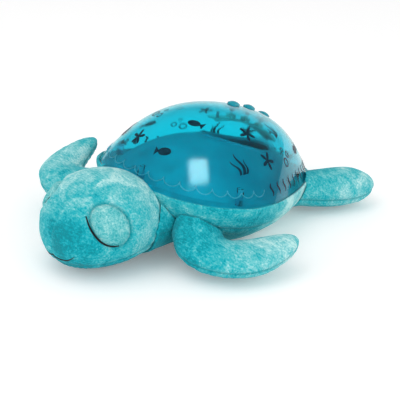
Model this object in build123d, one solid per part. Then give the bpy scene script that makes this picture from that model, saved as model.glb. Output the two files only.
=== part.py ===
from build123d import *
import os
from math import acos, asin, atan, cos, degrees, pi, radians, sin, sqrt, tan

os.makedirs("parts", exist_ok=True)

# Millimetres. World frame: +Z up, head towards -Y, the animal's left towards +X,
# origin on the floor under the middle of the shell.
# Module frame: origin at the middle of the shell's rim, x as in the world,
# v towards the tail in the rim plane, w square to the rim plane.

# Shell
shell_half_length = 98.0
shell_half_beam = 82.0
shell_flare = -0.47         # how much wider the plan is at the head end
shell_fullness = 0.15       # how full both ends of the plan are
shell_crown = 63.0
crown_fullness = 0.465      # how much the flanks swell beyond a plain paraboloid
crown_lean = -0.145         # how far the crown leans towards the head end
shell_tilt = 9.5            # degrees, head end up
shell_wall = 2.0
rim_height = 42.0

# Base tray
flange_thickness = 3.0
tub_inset = 14.0
tray_depth = 22.0
tray_wall = 2.0
fit_gap = 0.3               # between pieces that are set in by hand

# Screws
screw_radius = 1.25
screw_head_radius = 2.3
screw_head_height = 1.6
pilot_radius = 1.25
boss_radius = 3.1
case_screw_ring = 0.915     # share of the shell's outline
case_screw_angles = (-90, -35, -145, 25, 155, 90)
case_screw_bite = 5.0
screw_tip_gap = 0.5

# Battery box
cell_radius = 7.25
cell_length = 50.5
cell_count = 3
cell_pitch = 15.0
cell_play = 0.3
contact_space = 1.75
contact_plate = 0.4
box_wall = 1.6
box_middle_v = -38.0
door_thickness = 1.2
door_margin = 2.0
door_ear_length = 9.0
door_ear_half_width = 5.0
door_seat_radius = 3.6
door_seat_height = 3.2

# Wave projector
projector_v = 16.0
light_board_radius = 23.5
board_thickness = 1.6
light_post_height = 6.0
light_post_ring = 20.0
lamp_ring = 9.0
lamp_radius = 2.5
lamp_height = 4.2
cup_foot_radius = 13.5
cup_mouth_radius = 28.5
cup_wall = 1.6
cup_height = 20.0
hub_radius = 4.0
hub_height = 7.0
arm_width = 3.0
arm_start = 30              # degrees
axle_radius = 1.5
axle_play = 0.05
thrust_gap = 0.3
disc_hub_radius = 4.5
disc_hub_height = 6.0
disc_rim_height = 4.0
disc_rim_width = 3.5
ripple_count = 4
ripple_height = 0.7
disc_web = 1.6
clip_radius = 3.2
clip_thickness = 0.8

# Gear pair
gear_module = 1.0
disc_teeth = 72
pinion_teeth = 12
pressure_angle = 20.0
disc_addendum = 0.7
pinion_addendum = 0.9
dedendum = 1.2
backlash = 0.16
centre_relief = 0.08
pinion_height = 5.0

# Motor
motor_radius = 10.5
motor_height = 10.0
motor_clearance = 0.6
motor_collar_radius = 3.0
motor_collar_height = 1.0
shaft_radius = 1.0
shaft_play = 0.05
shaft_in_motor = 8.0
ear_reach = 15.5
ear_thickness = 1.6
ear_radius = 3.0
ear_post_height = 4.0

# Buttons
button_places = (7.0, 27.0, 47.0)   # along the spine, from the middle of the shell
button_names = ("front", "middle", "rear")
button_radius = 5.6
button_proud = 3.2
button_edge = 1.3
button_play = 0.25
button_flange_radius = 7.0
button_flange_thickness = 1.2
button_flange_drop = 1.1
button_stem_radius = 2.0
button_stem_length = 2.2
button_travel = 1.2
switch_gap = 0.1
switch_size = 6.0
switch_height = 3.5
switch_plunger_radius = 1.7
switch_plunger_height = 1.0
bracket_thickness = 1.6
bracket_width = 15.0
bracket_pad = 8.4
bracket_end_reach = 17.5

# Speaker and control board
speaker_v = -40.0
speaker_gap = 1.6
speaker_rim = 3.0
speaker_depth = 12.0
speaker_edge = 3.0
cone_depth = 3.5
dust_cap_radius = 5.0
magnet_radius = 9.0
magnet_height = 5.0
collar_wall = 1.4
collar_height = 4.0
grille_hole_radius = 1.2
grille_pitch = 5.0
grille_rings = 2
board_length = 46.0
board_gap = 3.0
board_post_height = 5.0
board_post_inset = 4.0

# Deck over the electronics
deck_inset = 13.0           # of its edge from the shell's rim
deck_rise = 34.0
deck_wall = 1.6
deck_opening = 31.0
deck_lip_width = 2.0
deck_lip_height = 1.5

# Plush
collar_rise = 0.5           # plush edge above the rim plane
plush_collar = 2.8          # plush outside the rim
belly_tuck = 0.021          # how fast the belly draws in below the rim
belly_rows = (8, 16, 24, 32, 40, 48, 54)
head_half_width = 52.0
head_half_length = 51.0
head_half_height = 39.0
head_reach = 32.0           # of the head's middle in front of the shell
head_y = -shell_half_length - head_reach
head_z = 39.0
snout_drop = 11.0
eyelid_radius = 18.0
eyelid_height = 3.0
eyelid_reach = 14.0         # of the patch's outline to each side of its place, along its facing
eyelid_share = (0.817, -0.431, 0.333)   # its place, in shares of the head's half sizes
eyelid_facing = (0.85, -0.30, 0.43)
neck_half_width = 50.0
neck_half_height = 30.0
neck_z = 33.0
neck_tuck = 48.0            # of its back end under the shell
neck_overlap = 18.0         # of its front end over the head's middle
neck_back_y = neck_tuck - shell_half_length
neck_front_y = head_y + neck_overlap

# Flipper stations: out, along, up, half width, half thickness
front_left = (
    (34, -59, 35, 24, 19),
    (60, -79, 31, 21, 19),
    (84, -85, 20, 21, 15),
    (102, -71, 17.5, 23, 14),
    (113, -50, 20, 21, 12),
    (119, -31, 25, 13, 8),
    (121, -23, 27, 5, 3.5),
)
front_right = (
    (34, -64, 34, 24, 18),
    (64, -85, 29, 25, 19),
    (93, -98, 29, 24, 17),
    (112, -94, 35, 20.5, 14),
    (120, -75, 42, 17.5, 11),
    (123, -54, 49, 11, 7.5),
    (124, -45, 52, 4.5, 3.3),
)
rear_pair = (
    (30, 44, 25, 16, 15),
    (42, 64, 22, 20, 17),
    (52, 84, 20, 22, 18),
    (60, 103, 19.5, 23, 18),
    (67, 120, 18.5, 17, 13),
    (71, 129, 18, 7, 5.5),
)

# Belly zip, across the belly
zip_y = -26.0
zip_length = 66.0
zip_tape_width = 20.0
zip_tape_thickness = 0.8
zip_channel_depth = 4.2
zip_coil_width = 4.0
zip_coil_height = 1.5
zip_stop_length = 3.0
slider_width = 9.0
slider_length = 11.0
slider_plate = 1.0
slider_play = 0.3

far = 400.0                 # larger than the whole object
module = Location((0, 0, rim_height), (-shell_tilt, 0, 0))

screw_hole = screw_radius + fit_gap / 2
case_screw_seat = -flange_thickness + screw_head_height
tub_floor = -tray_depth + tray_wall
gear_distance = gear_module * (disc_teeth + pinion_teeth) / 2 + centre_relief
motor_v = projector_v - gear_distance
box_half_x = cell_length / 2 + contact_space
box_half_v = cell_count * cell_pitch / 2 + cell_play
box_ceiling = -tray_depth + door_thickness + 2 * (cell_radius + cell_play)
box_top = box_ceiling + box_wall
door_ear_v = box_middle_v + box_half_v + door_margin + door_ear_length / 2
light_board_w = tub_floor + light_post_height
cup_base = light_board_w + board_thickness
hub_base = cup_base + cup_height - hub_height
hub_top = cup_base + cup_height
disc_base = hub_top + thrust_gap
motor_top = disc_base - motor_clearance - motor_collar_height
motor_base = motor_top - motor_height
door_seat_top = -tray_depth + door_seat_height
switch_depth = (shell_wall + button_flange_drop + button_flange_thickness + button_stem_length
                + button_travel + switch_gap)
bracket_depth = switch_depth + switch_plunger_height + switch_height


def plan_flare(s):
    return 1 + shell_flare * s + shell_fullness * s * s


def shell_plan(angle, grow=0.0):
    s = sin(angle)
    return (shell_half_beam + grow) * cos(angle) * plan_flare(s), (shell_half_length + grow) * s


def plan_half_width(v, grow):
    s = v / (shell_half_length + grow)
    return (shell_half_beam + grow) * sqrt(1 - s * s) * plan_flare(s)


def crown_height(x, v, grow=0.0, rise=shell_crown):
    s = v / (shell_half_length + grow)
    r = x / ((shell_half_beam + grow) * plan_flare(s))
    spread = s * s + r * r
    return rise * (1 - spread) * (1 + crown_fullness * spread + crown_lean * s)


def arc_loop(point_at, arcs):
    """Closed wire of three-point arcs through points of a closed curve."""
    step = 2 * pi / arcs
    edges = [Edge.make_three_point_arc(point_at(i * step), point_at((i + 0.5) * step),
                                       point_at((i + 1) * step)) for i in range(arcs)]
    return Wire(edges)


def plan_wire(grow, w=0.0):
    return arc_loop(lambda t: Vector(*shell_plan(t, grow), w), 16)


def plan_block(grow, low, high):
    """Straight-walled block on the shell's plan, between two heights."""
    return extrude(Face(plan_wire(grow, low)), high - low, (0, 0, 1))


def dome_block(grow, rise, low=0.0):
    """Everything under a crown surface of that rise and above the given height."""
    half_x = 1.4 * (shell_half_beam + grow)
    half_v = 1.1 * (shell_half_length + grow)
    count = 20
    rows = []
    for i in range(count + 1):
        v = half_v * (2 * i / count - 1)
        xs = [half_x * (2 * j / count - 1) for j in range(count + 1)]
        rows.append([Vector(x, v, crown_height(x, v, grow, rise)) for x in xs])
    skin = Face.make_surface_from_array_of_points(rows)
    block = extrude(skin, far, (0, 0, -1))
    top = rise + 1
    return block & Pos(0, 0, low) * Box(far, far, top - low, align=(Align.CENTER, Align.CENTER, Align.MIN))


def peg(radius, low, high, x=0.0, v=0.0):
    """Upright cylinder between two heights."""
    return Pos(x, v, low) * Cylinder(radius, high - low, align=(Align.CENTER, Align.CENTER, Align.MIN))


def slab(x_size, v_size, low, high, x=0.0, v=0.0):
    """Upright box between two heights."""
    return Pos(x, v, low) * Box(x_size, v_size, high - low, align=(Align.CENTER, Align.CENTER, Align.MIN))


def spun(points):
    """Solid of revolution about the local z axis from (radius, height) points."""
    outline = Polyline(*[(r, 0, z) for r, z in points], close=True)
    return revolve(Face(Wire(outline.edges())), Axis.Z)


def screw(length):
    """Pan-head screw, head at the bottom, shank upwards from z = 0."""
    head = peg(screw_head_radius, -screw_head_height, 0)
    return chamfer(head.faces().sort_by(Axis.Z)[0].edges(), 0.5) + peg(screw_radius, 0, length)


def ring_places(count, radius, start=90.0):
    turns = [radians(start + 360 * i / count) for i in range(count)]
    return [(radius * cos(t), radius * sin(t)) for t in turns]


def case_screw_places():
    return [tuple(case_screw_ring * c for c in shell_plan(radians(a))) for a in case_screw_angles]


def spine_frame(v):
    """Frame on the dome's outer surface above the spine, z along the surface normal."""
    s = v / shell_half_length
    swell = 1 + crown_fullness * s * s + crown_lean * s
    fall = 2 * s * swell - (1 - s * s) * (2 * crown_fullness * s + crown_lean)
    lean = degrees(atan(shell_crown * fall / shell_half_length))
    return Location((0, v, crown_height(0, v)), (-lean, 0, 0))


bracket_ends = (button_places[0] - bracket_end_reach, button_places[-1] + bracket_end_reach)

# Speaker and control board fill the room between the battery box and the tub's wall.
tub_room = -tub_inset - tray_wall
box_side = box_half_x + box_wall
speaker_seat = fit_gap + collar_wall + speaker_gap
speaker_radius = (plan_half_width(speaker_v, tub_room) - box_side) / 2 - speaker_seat
speaker_x = box_side + speaker_seat + speaker_radius
board_width = plan_half_width(box_middle_v - board_length / 2, tub_room) - box_side - 2 * board_gap
board_x = -box_side - board_gap - board_width / 2


def make_shell_dome():
    cavity = dome_block(-shell_wall, shell_crown - shell_wall, -1)
    for x, v in case_screw_places():
        cavity -= peg(boss_radius, 0, shell_crown, x, v)
    for v in bracket_ends:
        cavity -= spine_frame(v) * peg(boss_radius, -bracket_depth, 0)
    dome = dome_block(0, shell_crown) - cavity
    for x, v in case_screw_places():
        dome -= peg(pilot_radius, 0, case_screw_bite, x, v)
    for v in button_places:
        reach = shell_wall + button_flange_drop
        dome -= spine_frame(v) * peg(button_radius + button_play, -reach, reach)
    for v in bracket_ends:
        dome -= spine_frame(v) * peg(pilot_radius, -bracket_depth, -shell_wall - 1)
    return dome


def make_base_tray():
    tub = plan_block(-tub_inset, -tray_depth, 0) - plan_block(-tub_inset - tray_wall, tub_floor, 1)
    flange = plan_block(0, -flange_thickness, 0)
    flange -= plan_block(-tub_inset - tray_wall, -flange_thickness - 1, 1)
    tray = tub + flange
    for x, v in case_screw_places():
        tray -= peg(screw_radius + fit_gap, -flange_thickness, 0, x, v)
        tray -= peg(screw_head_radius + fit_gap, -flange_thickness, case_screw_seat, x, v)
    # battery box with its doorway and the boss of the door's screw
    box_size = (2 * (box_half_x + box_wall), 2 * (box_half_v + box_wall))
    tray += slab(*box_size, -tray_depth, box_top, 0, box_middle_v)
    tray += peg(door_seat_radius + fit_gap + box_wall, tub_floor, light_board_w - fit_gap, 0, door_ear_v)
    tray -= slab(2 * box_half_x, 2 * box_half_v, -tray_depth, box_ceiling, 0, box_middle_v)
    tray -= door_outline(fit_gap)
    tray -= peg(door_seat_radius + fit_gap, -tray_depth, door_seat_top + fit_gap, 0, door_ear_v)
    tray -= peg(pilot_radius, -tray_depth, light_board_w - fit_gap - 1, 0, door_ear_v)
    # posts of the light board, the motor's ears and the control board
    for x, v in ring_places(3, light_post_ring):
        post = peg(boss_radius, tub_floor, light_board_w, x, projector_v + v)
        tray += post - peg(pilot_radius, tub_floor, light_board_w, x, projector_v + v)
    for side in (-1, 1):
        post = peg(boss_radius, box_top, box_top + ear_post_height, side * ear_reach, motor_v)
        tray += post - peg(pilot_radius, box_top, box_top + ear_post_height, side * ear_reach, motor_v)
    for x, v in board_screw_places():
        post = peg(boss_radius, tub_floor, tub_floor + board_post_height, x, v)
        tray += post - peg(pilot_radius, tub_floor, tub_floor + board_post_height, x, v)
    # speaker collar and grille
    seat = speaker_radius + fit_gap
    collar = peg(seat + collar_wall, 0, collar_height) - peg(seat, 0, collar_height)
    tray += Pos(speaker_x, speaker_v, tub_floor) * collar
    holes = [(0, 0)]
    for ring in range(1, grille_rings + 1):
        holes += ring_places(6 * ring, ring * grille_pitch)
    for x, v in holes:
        tray -= peg(grille_hole_radius, -tray_depth, tub_floor, speaker_x + x, speaker_v + v)
    return tray


def door_outline(grow):
    """Battery door's plate with the ear that takes its screw."""
    high = -tray_depth + door_thickness
    plate = slab(2 * (box_half_x + door_margin + grow), 2 * (box_half_v + door_margin + grow),
                 -tray_depth, high, 0, box_middle_v)
    ear_size = (2 * (door_ear_half_width + grow), door_ear_length + 2 * (door_margin + grow))
    return plate + slab(*ear_size, -tray_depth, high, 0, door_ear_v)


def make_battery_door():
    door = door_outline(0) + peg(door_seat_radius, -tray_depth, door_seat_top, 0, door_ear_v)
    door -= peg(screw_head_radius + fit_gap, -tray_depth, -tray_depth + screw_head_height, 0, door_ear_v)
    return door - peg(screw_hole, -tray_depth, door_seat_top, 0, door_ear_v)


def make_door_screw():
    low = -tray_depth + screw_head_height
    return Pos(0, door_ear_v, low) * screw(light_board_w - fit_gap - 1.5 - low)


def cell_places():
    return [box_middle_v + cell_pitch * (i - (cell_count - 1) / 2) for i in range(cell_count)]


def make_battery_cells():
    middle_w = -tray_depth + door_thickness + cell_play + cell_radius
    can = Cylinder(cell_radius, cell_length - 1.2, rotation=(0, 90, 0))
    button = Pos(cell_length / 2 - 0.6, 0, 0) * Cylinder(2.7, 1.2, rotation=(0, 90, 0))
    cell = Pos(-0.6, 0, 0) * can + button
    cells = []
    for i, v in enumerate(cell_places()):
        cells.append(Pos(0, v, middle_w) * Rot(0, 0, 180 * (i % 2)) * cell)
    return cells


def make_cell_contacts():
    middle_w = -tray_depth + door_thickness + cell_play + cell_radius
    nub_length = contact_space - contact_plate - 0.1
    contacts = []
    for side in (-1, 1):
        for v in cell_places():
            plate = Pos(side * (box_half_x - contact_plate / 2), v, middle_w) * Box(contact_plate, 10, 11)
            nub = Pos(side * (box_half_x - contact_plate - nub_length / 2), v, middle_w)
            contacts.append(plate + nub * Cone(3, 1.6, nub_length, rotation=(0, -90 * side, 0)))
    return contacts


def make_light_board():
    board = peg(light_board_radius, light_board_w, cup_base)
    for x, v in ring_places(3, light_post_ring):
        board -= peg(screw_hole, light_board_w, cup_base, x, v)
    return Pos(0, projector_v, 0) * board


def make_lamps():
    lamps = []
    for x, v in ring_places(4, lamp_ring, 45):
        base = peg(lamp_radius + 0.4, cup_base, cup_base + 1, x, v)
        stem = peg(lamp_radius, cup_base + 1, cup_base + lamp_height - lamp_radius, x, v)
        crown = Pos(x, v, cup_base + lamp_height - lamp_radius) * Sphere(lamp_radius, arc_size1=0)
        lamps.append(Pos(0, projector_v, 0) * (base + stem + crown))
    return lamps


def make_projector_cup():
    """Reflector cone with a three-armed hub for the axle across its mouth."""
    cone = spun(((cup_foot_radius, cup_base), (cup_foot_radius + cup_wall, cup_base),
                 (cup_mouth_radius + cup_wall, hub_top), (cup_mouth_radius, hub_top)))
    arm = Pos(0, 0, hub_base + hub_height / 2)
    spider = peg(hub_radius, hub_base, hub_top)
    for x, v in ring_places(3, cup_mouth_radius / 2, arm_start):
        turn = degrees(acos(x / (cup_mouth_radius / 2))) * (1 if v >= 0 else -1)
        spider += arm * Rot(0, 0, turn) * Pos(cup_mouth_radius / 2, 0, hub_height / 4) * Box(
            cup_mouth_radius, arm_width, hub_height / 2)
    cup = cone + spider - peg(axle_radius, hub_base, hub_top)
    return Pos(0, projector_v, 0) * cup


def make_disc_axle():
    top = disc_base + disc_hub_height + thrust_gap + clip_thickness + 1
    return Pos(0, projector_v, 0) * chamfer(
        peg(axle_radius, hub_base, top).faces().sort_by(Axis.Z)[-1].edges(), 0.3)


def make_axle_clip():
    low = disc_base + disc_hub_height + thrust_gap
    ring = peg(clip_radius, low, low + clip_thickness) - peg(axle_radius, low, low + clip_thickness)
    # sprung opening of the clip
    gap = slab(1.6, clip_radius, low, low + clip_thickness, 0, clip_radius / 2 + axle_radius / 2)
    return Pos(0, projector_v, 0) * (ring - gap)


def involute_point(base, radius, start_angle, side):
    """Point of an involute flank at a radius; side is -1 or 1."""
    roll = sqrt(max(0.0, (radius / base) ** 2 - 1))
    angle = start_angle + side * (roll - atan(roll))
    return Vector(radius * cos(angle), radius * sin(angle), 0)


def gear_face(teeth, addendum, turn):
    """Outline of an involute spur gear with flanks as arcs; turn sets a tooth's direction in degrees."""
    pitch = gear_module * teeth / 2
    base = pitch * cos(radians(pressure_angle))
    tip = pitch + addendum * gear_module
    root = pitch - dedendum * gear_module
    low = max(base, root + 0.05)
    flat = tan(radians(pressure_angle)) - radians(pressure_angle)
    half = pi / (2 * teeth) - backlash / (2 * pitch) / 2 + flat
    edges = []
    for i in range(teeth):
        middle = radians(turn) + 2 * pi * i / teeth
        radii = (low, (low + tip) / 2, tip)
        rise = [involute_point(base, r, middle - half, 1) for r in radii]
        fall = [involute_point(base, r, middle + half, -1) for r in reversed(radii)]
        foot_in = rise[0].normalized() * root
        foot_out = fall[-1].normalized() * root
        next_foot = foot_in.rotate(Axis.Z, 360 / teeth)
        edges.append(Edge.make_line(foot_in, rise[0]))
        edges.append(Edge.make_three_point_arc(*rise))
        edges.append(Edge.make_line(rise[2], fall[0]))
        edges.append(Edge.make_three_point_arc(*fall))
        edges.append(Edge.make_line(fall[2], foot_out))
        edges.append(Edge.make_line(foot_out, next_foot))
    return Face(Wire(edges))


def make_wave_disc():
    """Clear disc with concentric ripples, a toothed rim and a running hub."""
    root = gear_module * (disc_teeth / 2 - dedendum)
    rim_inner = root - disc_rim_width
    rim_low = disc_base + (pinion_height - disc_rim_height) / 2
    toothed = gear_face(disc_teeth, disc_addendum, 90 + 180 / disc_teeth)
    rim = extrude(Pos(0, 0, rim_low) * toothed, disc_rim_height)
    rim -= peg(rim_inner, rim_low, rim_low + disc_rim_height)
    web_low = rim_low + (disc_rim_height - disc_web) / 2
    span = rim_inner + 0.5 - (disc_hub_radius - 0.5)
    steps = 2 * ripple_count
    under = []
    for i in range(steps + 1):
        radius = disc_hub_radius - 0.5 + span * i / steps
        under.append((radius, web_low + (ripple_height if i % 2 else 0)))
    over = [(r, z + disc_web) for r, z in reversed(under)]
    disc = rim + spun(under + over) + peg(disc_hub_radius, disc_base, disc_base + disc_hub_height)
    disc -= peg(axle_radius + axle_play, disc_base, disc_base + disc_hub_height)
    return Pos(0, projector_v, 0) * disc


def make_drive_pinion():
    gear = extrude(Pos(0, 0, disc_base) * gear_face(pinion_teeth, pinion_addendum, 90), pinion_height)
    gear -= peg(shaft_radius, disc_base, disc_base + pinion_height)
    return Pos(0, motor_v, 0) * gear


def make_motor_shaft():
    return peg(shaft_radius, motor_top - shaft_in_motor, disc_base + pinion_height, 0, motor_v)


def make_gear_motor():
    can = peg(motor_radius, motor_base, motor_top)
    can = fillet(can.faces().sort_by(Axis.Z)[-1].edges(), 1.0)
    can += peg(motor_collar_radius, motor_top, motor_top + motor_collar_height)
    low = box_top + ear_post_height
    ears = slab(2 * ear_reach, 2 * ear_radius, low, low + ear_thickness)
    for side in (-1, 1):
        ears += peg(ear_radius, low, low + ear_thickness, side * ear_reach)
        ears -= peg(screw_hole, low, low + ear_thickness, side * ear_reach)
    bore = peg(shaft_radius + shaft_play, motor_top - shaft_in_motor, motor_top + motor_collar_height)
    return Pos(0, motor_v, 0) * (can + ears - bore)


def make_motor_screws():
    low = box_top + ear_post_height + ear_thickness
    bolt = Rot(180, 0, 0) * screw(ear_thickness + ear_post_height - screw_tip_gap)
    return [Pos(side * ear_reach, motor_v, low) * bolt for side in (-1, 1)]


def make_button(v):
    """Domed cap that passes the shell, with a flange and a stem behind it."""
    flange_top = -shell_wall - button_flange_drop
    flange_low = flange_top - button_flange_thickness
    stem_low = flange_low - button_stem_length
    side = Polyline((0, 0, stem_low), (button_stem_radius, 0, stem_low), (button_stem_radius, 0, flange_low),
                    (button_flange_radius, 0, flange_low), (button_flange_radius, 0, flange_top),
                    (button_radius, 0, flange_top), (button_radius, 0, button_edge))
    rise = button_proud - button_edge
    ball = (button_radius ** 2 + rise ** 2) / (2 * rise)
    half_turn = asin(button_radius / ball) / 2
    crown_mid = (ball * sin(half_turn), 0, button_proud - ball + ball * cos(half_turn))
    crown = ThreePointArc((button_radius, 0, button_edge), crown_mid, (0, 0, button_proud))
    back = Line((0, 0, button_proud), (0, 0, stem_low))
    face = Face(Wire(side.edges() + crown.edges() + back.edges()))
    return spine_frame(v) * revolve(face, Axis.Z)


def make_button_switches():
    switches = []
    for v in button_places:
        low = -bracket_depth
        body = slab(switch_size, switch_size, low, low + switch_height)
        body = chamfer(body.faces().sort_by(Axis.Z)[-1].edges(), 0.4)
        plunger = peg(switch_plunger_radius, low + switch_height, low + switch_height + switch_plunger_height)
        switches.append(spine_frame(v) * (body + plunger))
    return switches


def make_switch_bracket():
    """Strip bent into five pads, each square to the shell's normal above it."""
    top = []
    under = []
    for v in (bracket_ends[0],) + button_places + (bracket_ends[1],):
        frame = spine_frame(v)
        for end in (-1, 1):
            for depth, row in ((bracket_depth, top), (bracket_depth + bracket_thickness, under)):
                spot = (frame * Location((0, end * bracket_pad / 2, -depth))).position
                row.append((0, spot.Y, spot.Z))
    outline = Polyline(*top, *reversed(under), close=True)
    strip = extrude(Face(Wire(outline.edges())), bracket_width / 2, (1, 0, 0), both=True)
    for v in bracket_ends:
        strip -= spine_frame(v) * peg(screw_hole, -bracket_depth - 2 * bracket_thickness, -bracket_depth)
    return strip


def make_bracket_screws():
    bolt = Pos(0, 0, -bracket_depth - bracket_thickness) * screw(bracket_thickness + case_screw_bite)
    return [spine_frame(v) * bolt for v in bracket_ends]


def make_case_screws():
    length = case_screw_bite - screw_tip_gap - case_screw_seat
    return [Pos(x, v, case_screw_seat) * screw(length) for x, v in case_screw_places()]


def make_speaker():
    yoke = speaker_depth - magnet_height
    frame = spun(((0, 0), (speaker_radius, 0), (speaker_radius, speaker_rim), (magnet_radius + 2, yoke),
                  (magnet_radius, yoke), (magnet_radius, speaker_depth), (0, speaker_depth)))
    mouth = speaker_radius - speaker_edge
    dish = spun(((0, 0), (mouth, 0), (dust_cap_radius, cone_depth), (0, cone_depth - 1)))
    return Pos(speaker_x, speaker_v, tub_floor) * (frame - dish)


def board_screw_places():
    half_x = board_width / 2 - board_post_inset
    half_v = board_length / 2 - board_post_inset
    return [(board_x + i * half_x, box_middle_v + j * half_v) for i in (-1, 1) for j in (-1, 1)]


def make_control_board():
    low = tub_floor + board_post_height
    board = slab(board_width, board_length, low, low + board_thickness, board_x, box_middle_v)
    for x, v in board_screw_places():
        board -= peg(screw_hole, low, low + board_thickness, x, v)
    return board


def make_board_components():
    low = tub_floor + board_post_height + board_thickness
    chip = slab(11, 11, low, low + 1.8, board_x, box_middle_v)
    chip = chamfer(chip.faces().sort_by(Axis.Z)[-1].edges(), 0.4)
    tall = [peg(3.2, low, low + 8, board_x + x, box_middle_v + 12) for x in (-5, 5)]
    tall = [fillet(can.faces().sort_by(Axis.Z)[-1].edges(), 0.6) for can in tall]
    plugs = [slab(7, 4.5, low, low + 5.5, board_x + x, box_middle_v - 13) for x in (-6, 6)]
    plugs = [plug - slab(5.4, 3, low + 1.5, low + 6, board_x + x, box_middle_v - 13)
             for plug, x in zip(plugs, (-6, 6))]
    return [chip] + tall + plugs


def make_board_screws():
    screws = []
    bolt = Rot(180, 0, 0) * screw(board_thickness + light_post_height - screw_tip_gap)
    for x, v in ring_places(3, light_post_ring):
        screws.append(Pos(x, projector_v + v, cup_base) * bolt)
    bolt = Rot(180, 0, 0) * screw(board_thickness + board_post_height - screw_tip_gap)
    top = tub_floor + board_post_height + board_thickness
    for x, v in board_screw_places():
        screws.append(Pos(x, v, top) * bolt)
    return screws


def make_deck_plate():
    """Crowned cover over the electronics, open above the wave disc."""
    outer = dome_block(-deck_inset, deck_rise)
    inner = dome_block(-deck_inset - deck_wall, deck_rise - deck_wall, -1)
    lip = peg(deck_opening + deck_lip_width, 0, 2 * deck_rise, 0, projector_v)
    lip &= dome_block(-deck_inset, deck_rise + deck_lip_height) - inner
    return outer - inner + lip - peg(deck_opening, 0, 2 * deck_rise, 0, projector_v)


def above_floor(solid):
    return solid & Pos(0, 0, far / 2) * Box(2 * far, 2 * far, far)


def oval(centre, across, upward, half_width, half_height, arcs=8):
    centre, across, upward = Vector(centre), Vector(across), Vector(upward)
    return arc_loop(lambda t: centre + across * (half_width * cos(t)) + upward * (half_height * sin(t)), arcs)


def make_body_form():
    """Stuffed body: the shell's plan, fullest just under the rim and drawn in towards the belly."""
    rows = [plan_wire(plush_collar, collar_rise)]
    for depth in belly_rows:
        rows.append(plan_wire(plush_collar - belly_tuck * depth * depth, -depth))
    return above_floor(module * Solid.make_loft(rows))


def make_pocket():
    """Room in the body for the light module."""
    wide = plan_block(fit_gap, -flange_thickness, far / 2)
    return module * (wide + plan_block(-tub_inset + fit_gap, -tray_depth - fit_gap, far / 2))


def make_head_form(grow=0.0):
    rows = []
    for i in range(9):
        u = sin(radians(-76 + 19 * i))
        swell = sqrt(1 - u * u)
        drop = snout_drop * min(u, 0.0) ** 2
        centre = (0, head_y + (head_half_length + grow) * u, head_z - drop)
        rows.append(oval(centre, (1, 0, 0), (0, 0, 1), (head_half_width + grow) * swell,
                         (head_half_height + grow) * swell))
    return above_floor(Solid.make_loft(rows))


def make_neck_form():
    rows = []
    for i in range(3):
        y = neck_back_y + (neck_front_y - neck_back_y) * i / 2
        rows.append(oval((0, y, neck_z), (1, 0, 0), (0, 0, 1), neck_half_width, neck_half_height))
    return above_floor(Solid.make_loft(rows))


def make_flipper_form(stations, side):
    """Stuffed paddle lofted along its stations; side is 1 on the left, -1 on the right."""
    spots = [Vector(side * out, along, up) for out, along, up, wide, thick in stations]
    rows = []
    for i, (out, along, up, wide, thick) in enumerate(stations):
        run = (spots[min(i + 1, len(spots) - 1)] - spots[max(i - 1, 0)]).normalized()
        across = run.cross(Vector(0, 0, 1)).normalized()
        rows.append(oval(spots[i], across, across.cross(run), wide, thick))
    return above_floor(Solid.make_loft(rows))


def make_eyelid_form(side):
    """Padded round patch that follows the head; side is 1 on the left, -1 on the right."""
    spot = (side * eyelid_share[0] * head_half_width, head_y + eyelid_share[1] * head_half_length,
            head_z + eyelid_share[2] * head_half_height)
    facing = (side * eyelid_facing[0], eyelid_facing[1], eyelid_facing[2])
    outline = Plane(spot, z_dir=facing).location * Cylinder(eyelid_radius, 2 * eyelid_reach)
    return make_head_form(eyelid_height) & outline


def make_zip():
    """Tape, coil, slider and end stops of the belly zip, hung in the belly's channel."""
    tape_low = zip_channel_depth - zip_tape_thickness
    tape = slab(zip_length, zip_tape_width, tape_low, zip_channel_depth, 0, zip_y)
    coil_length = zip_length - 2 * zip_stop_length
    coil_low = tape_low - zip_coil_height
    coil = slab(coil_length, zip_coil_width, coil_low, tape_low, 0, zip_y)
    stops = [slab(zip_stop_length, zip_coil_width + 2, coil_low - 0.4, tape_low,
                  side * (coil_length + zip_stop_length) / 2, zip_y) for side in (-1, 1)]
    start = -coil_length / 2 + slider_length / 2 + slider_play
    base = coil_low - slider_play
    slider = slab(slider_length, slider_width, base - slider_plate, tape_low - slider_play, start, zip_y)
    slider = fillet(slider.edges().filter_by(Axis.Z), 2.0)
    slider -= slab(2 * slider_length, zip_coil_width + 2 * slider_play, base, zip_channel_depth, start, zip_y)
    return tape, coil, slider, stops


def write(name, shape):
    """One STEP file; a list is a group of separate solids."""
    solids = []
    for piece in shape if isinstance(shape, list) else [shape]:
        solids += piece.solids()
    export_step(solids[0] if len(solids) == 1 else Compound(children=solids), f"parts/{name}.step")


def in_module(shape):
    if isinstance(shape, list):
        return [module * piece for piece in shape]
    return module * shape


body_form = make_body_form()
shell_room = module * dome_block(fit_gap, shell_crown + fit_gap, -flange_thickness)
head = make_head_form() - body_form - shell_room
neck = make_neck_form() - body_form - head - shell_room
write("head_plush", head)
write("neck_plush", neck)
for name, side in (("eyelid_left", 1), ("eyelid_right", -1)):
    write(name, make_eyelid_form(side) - head)
for name, stations, side in (("front_flipper_left", front_left, 1), ("front_flipper_right", front_right, -1)):
    write(name, make_flipper_form(stations, side) - body_form - head - neck - shell_room)
for name, side in (("rear_flipper_left", 1), ("rear_flipper_right", -1)):
    write(name, make_flipper_form(rear_pair, side) - body_form - shell_room)

zip_channel = slab(zip_length + 2, zip_tape_width + 2, -1, zip_channel_depth, 0, zip_y)
write("body_plush", body_form - make_pocket() - zip_channel)
zip_tape, zip_coil, zip_slider, zip_stops = make_zip()
write("zipper_tape", zip_tape)
write("zipper_coil", zip_coil)
write("zipper_slider", zip_slider)
write("zipper_stops", zip_stops)

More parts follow.
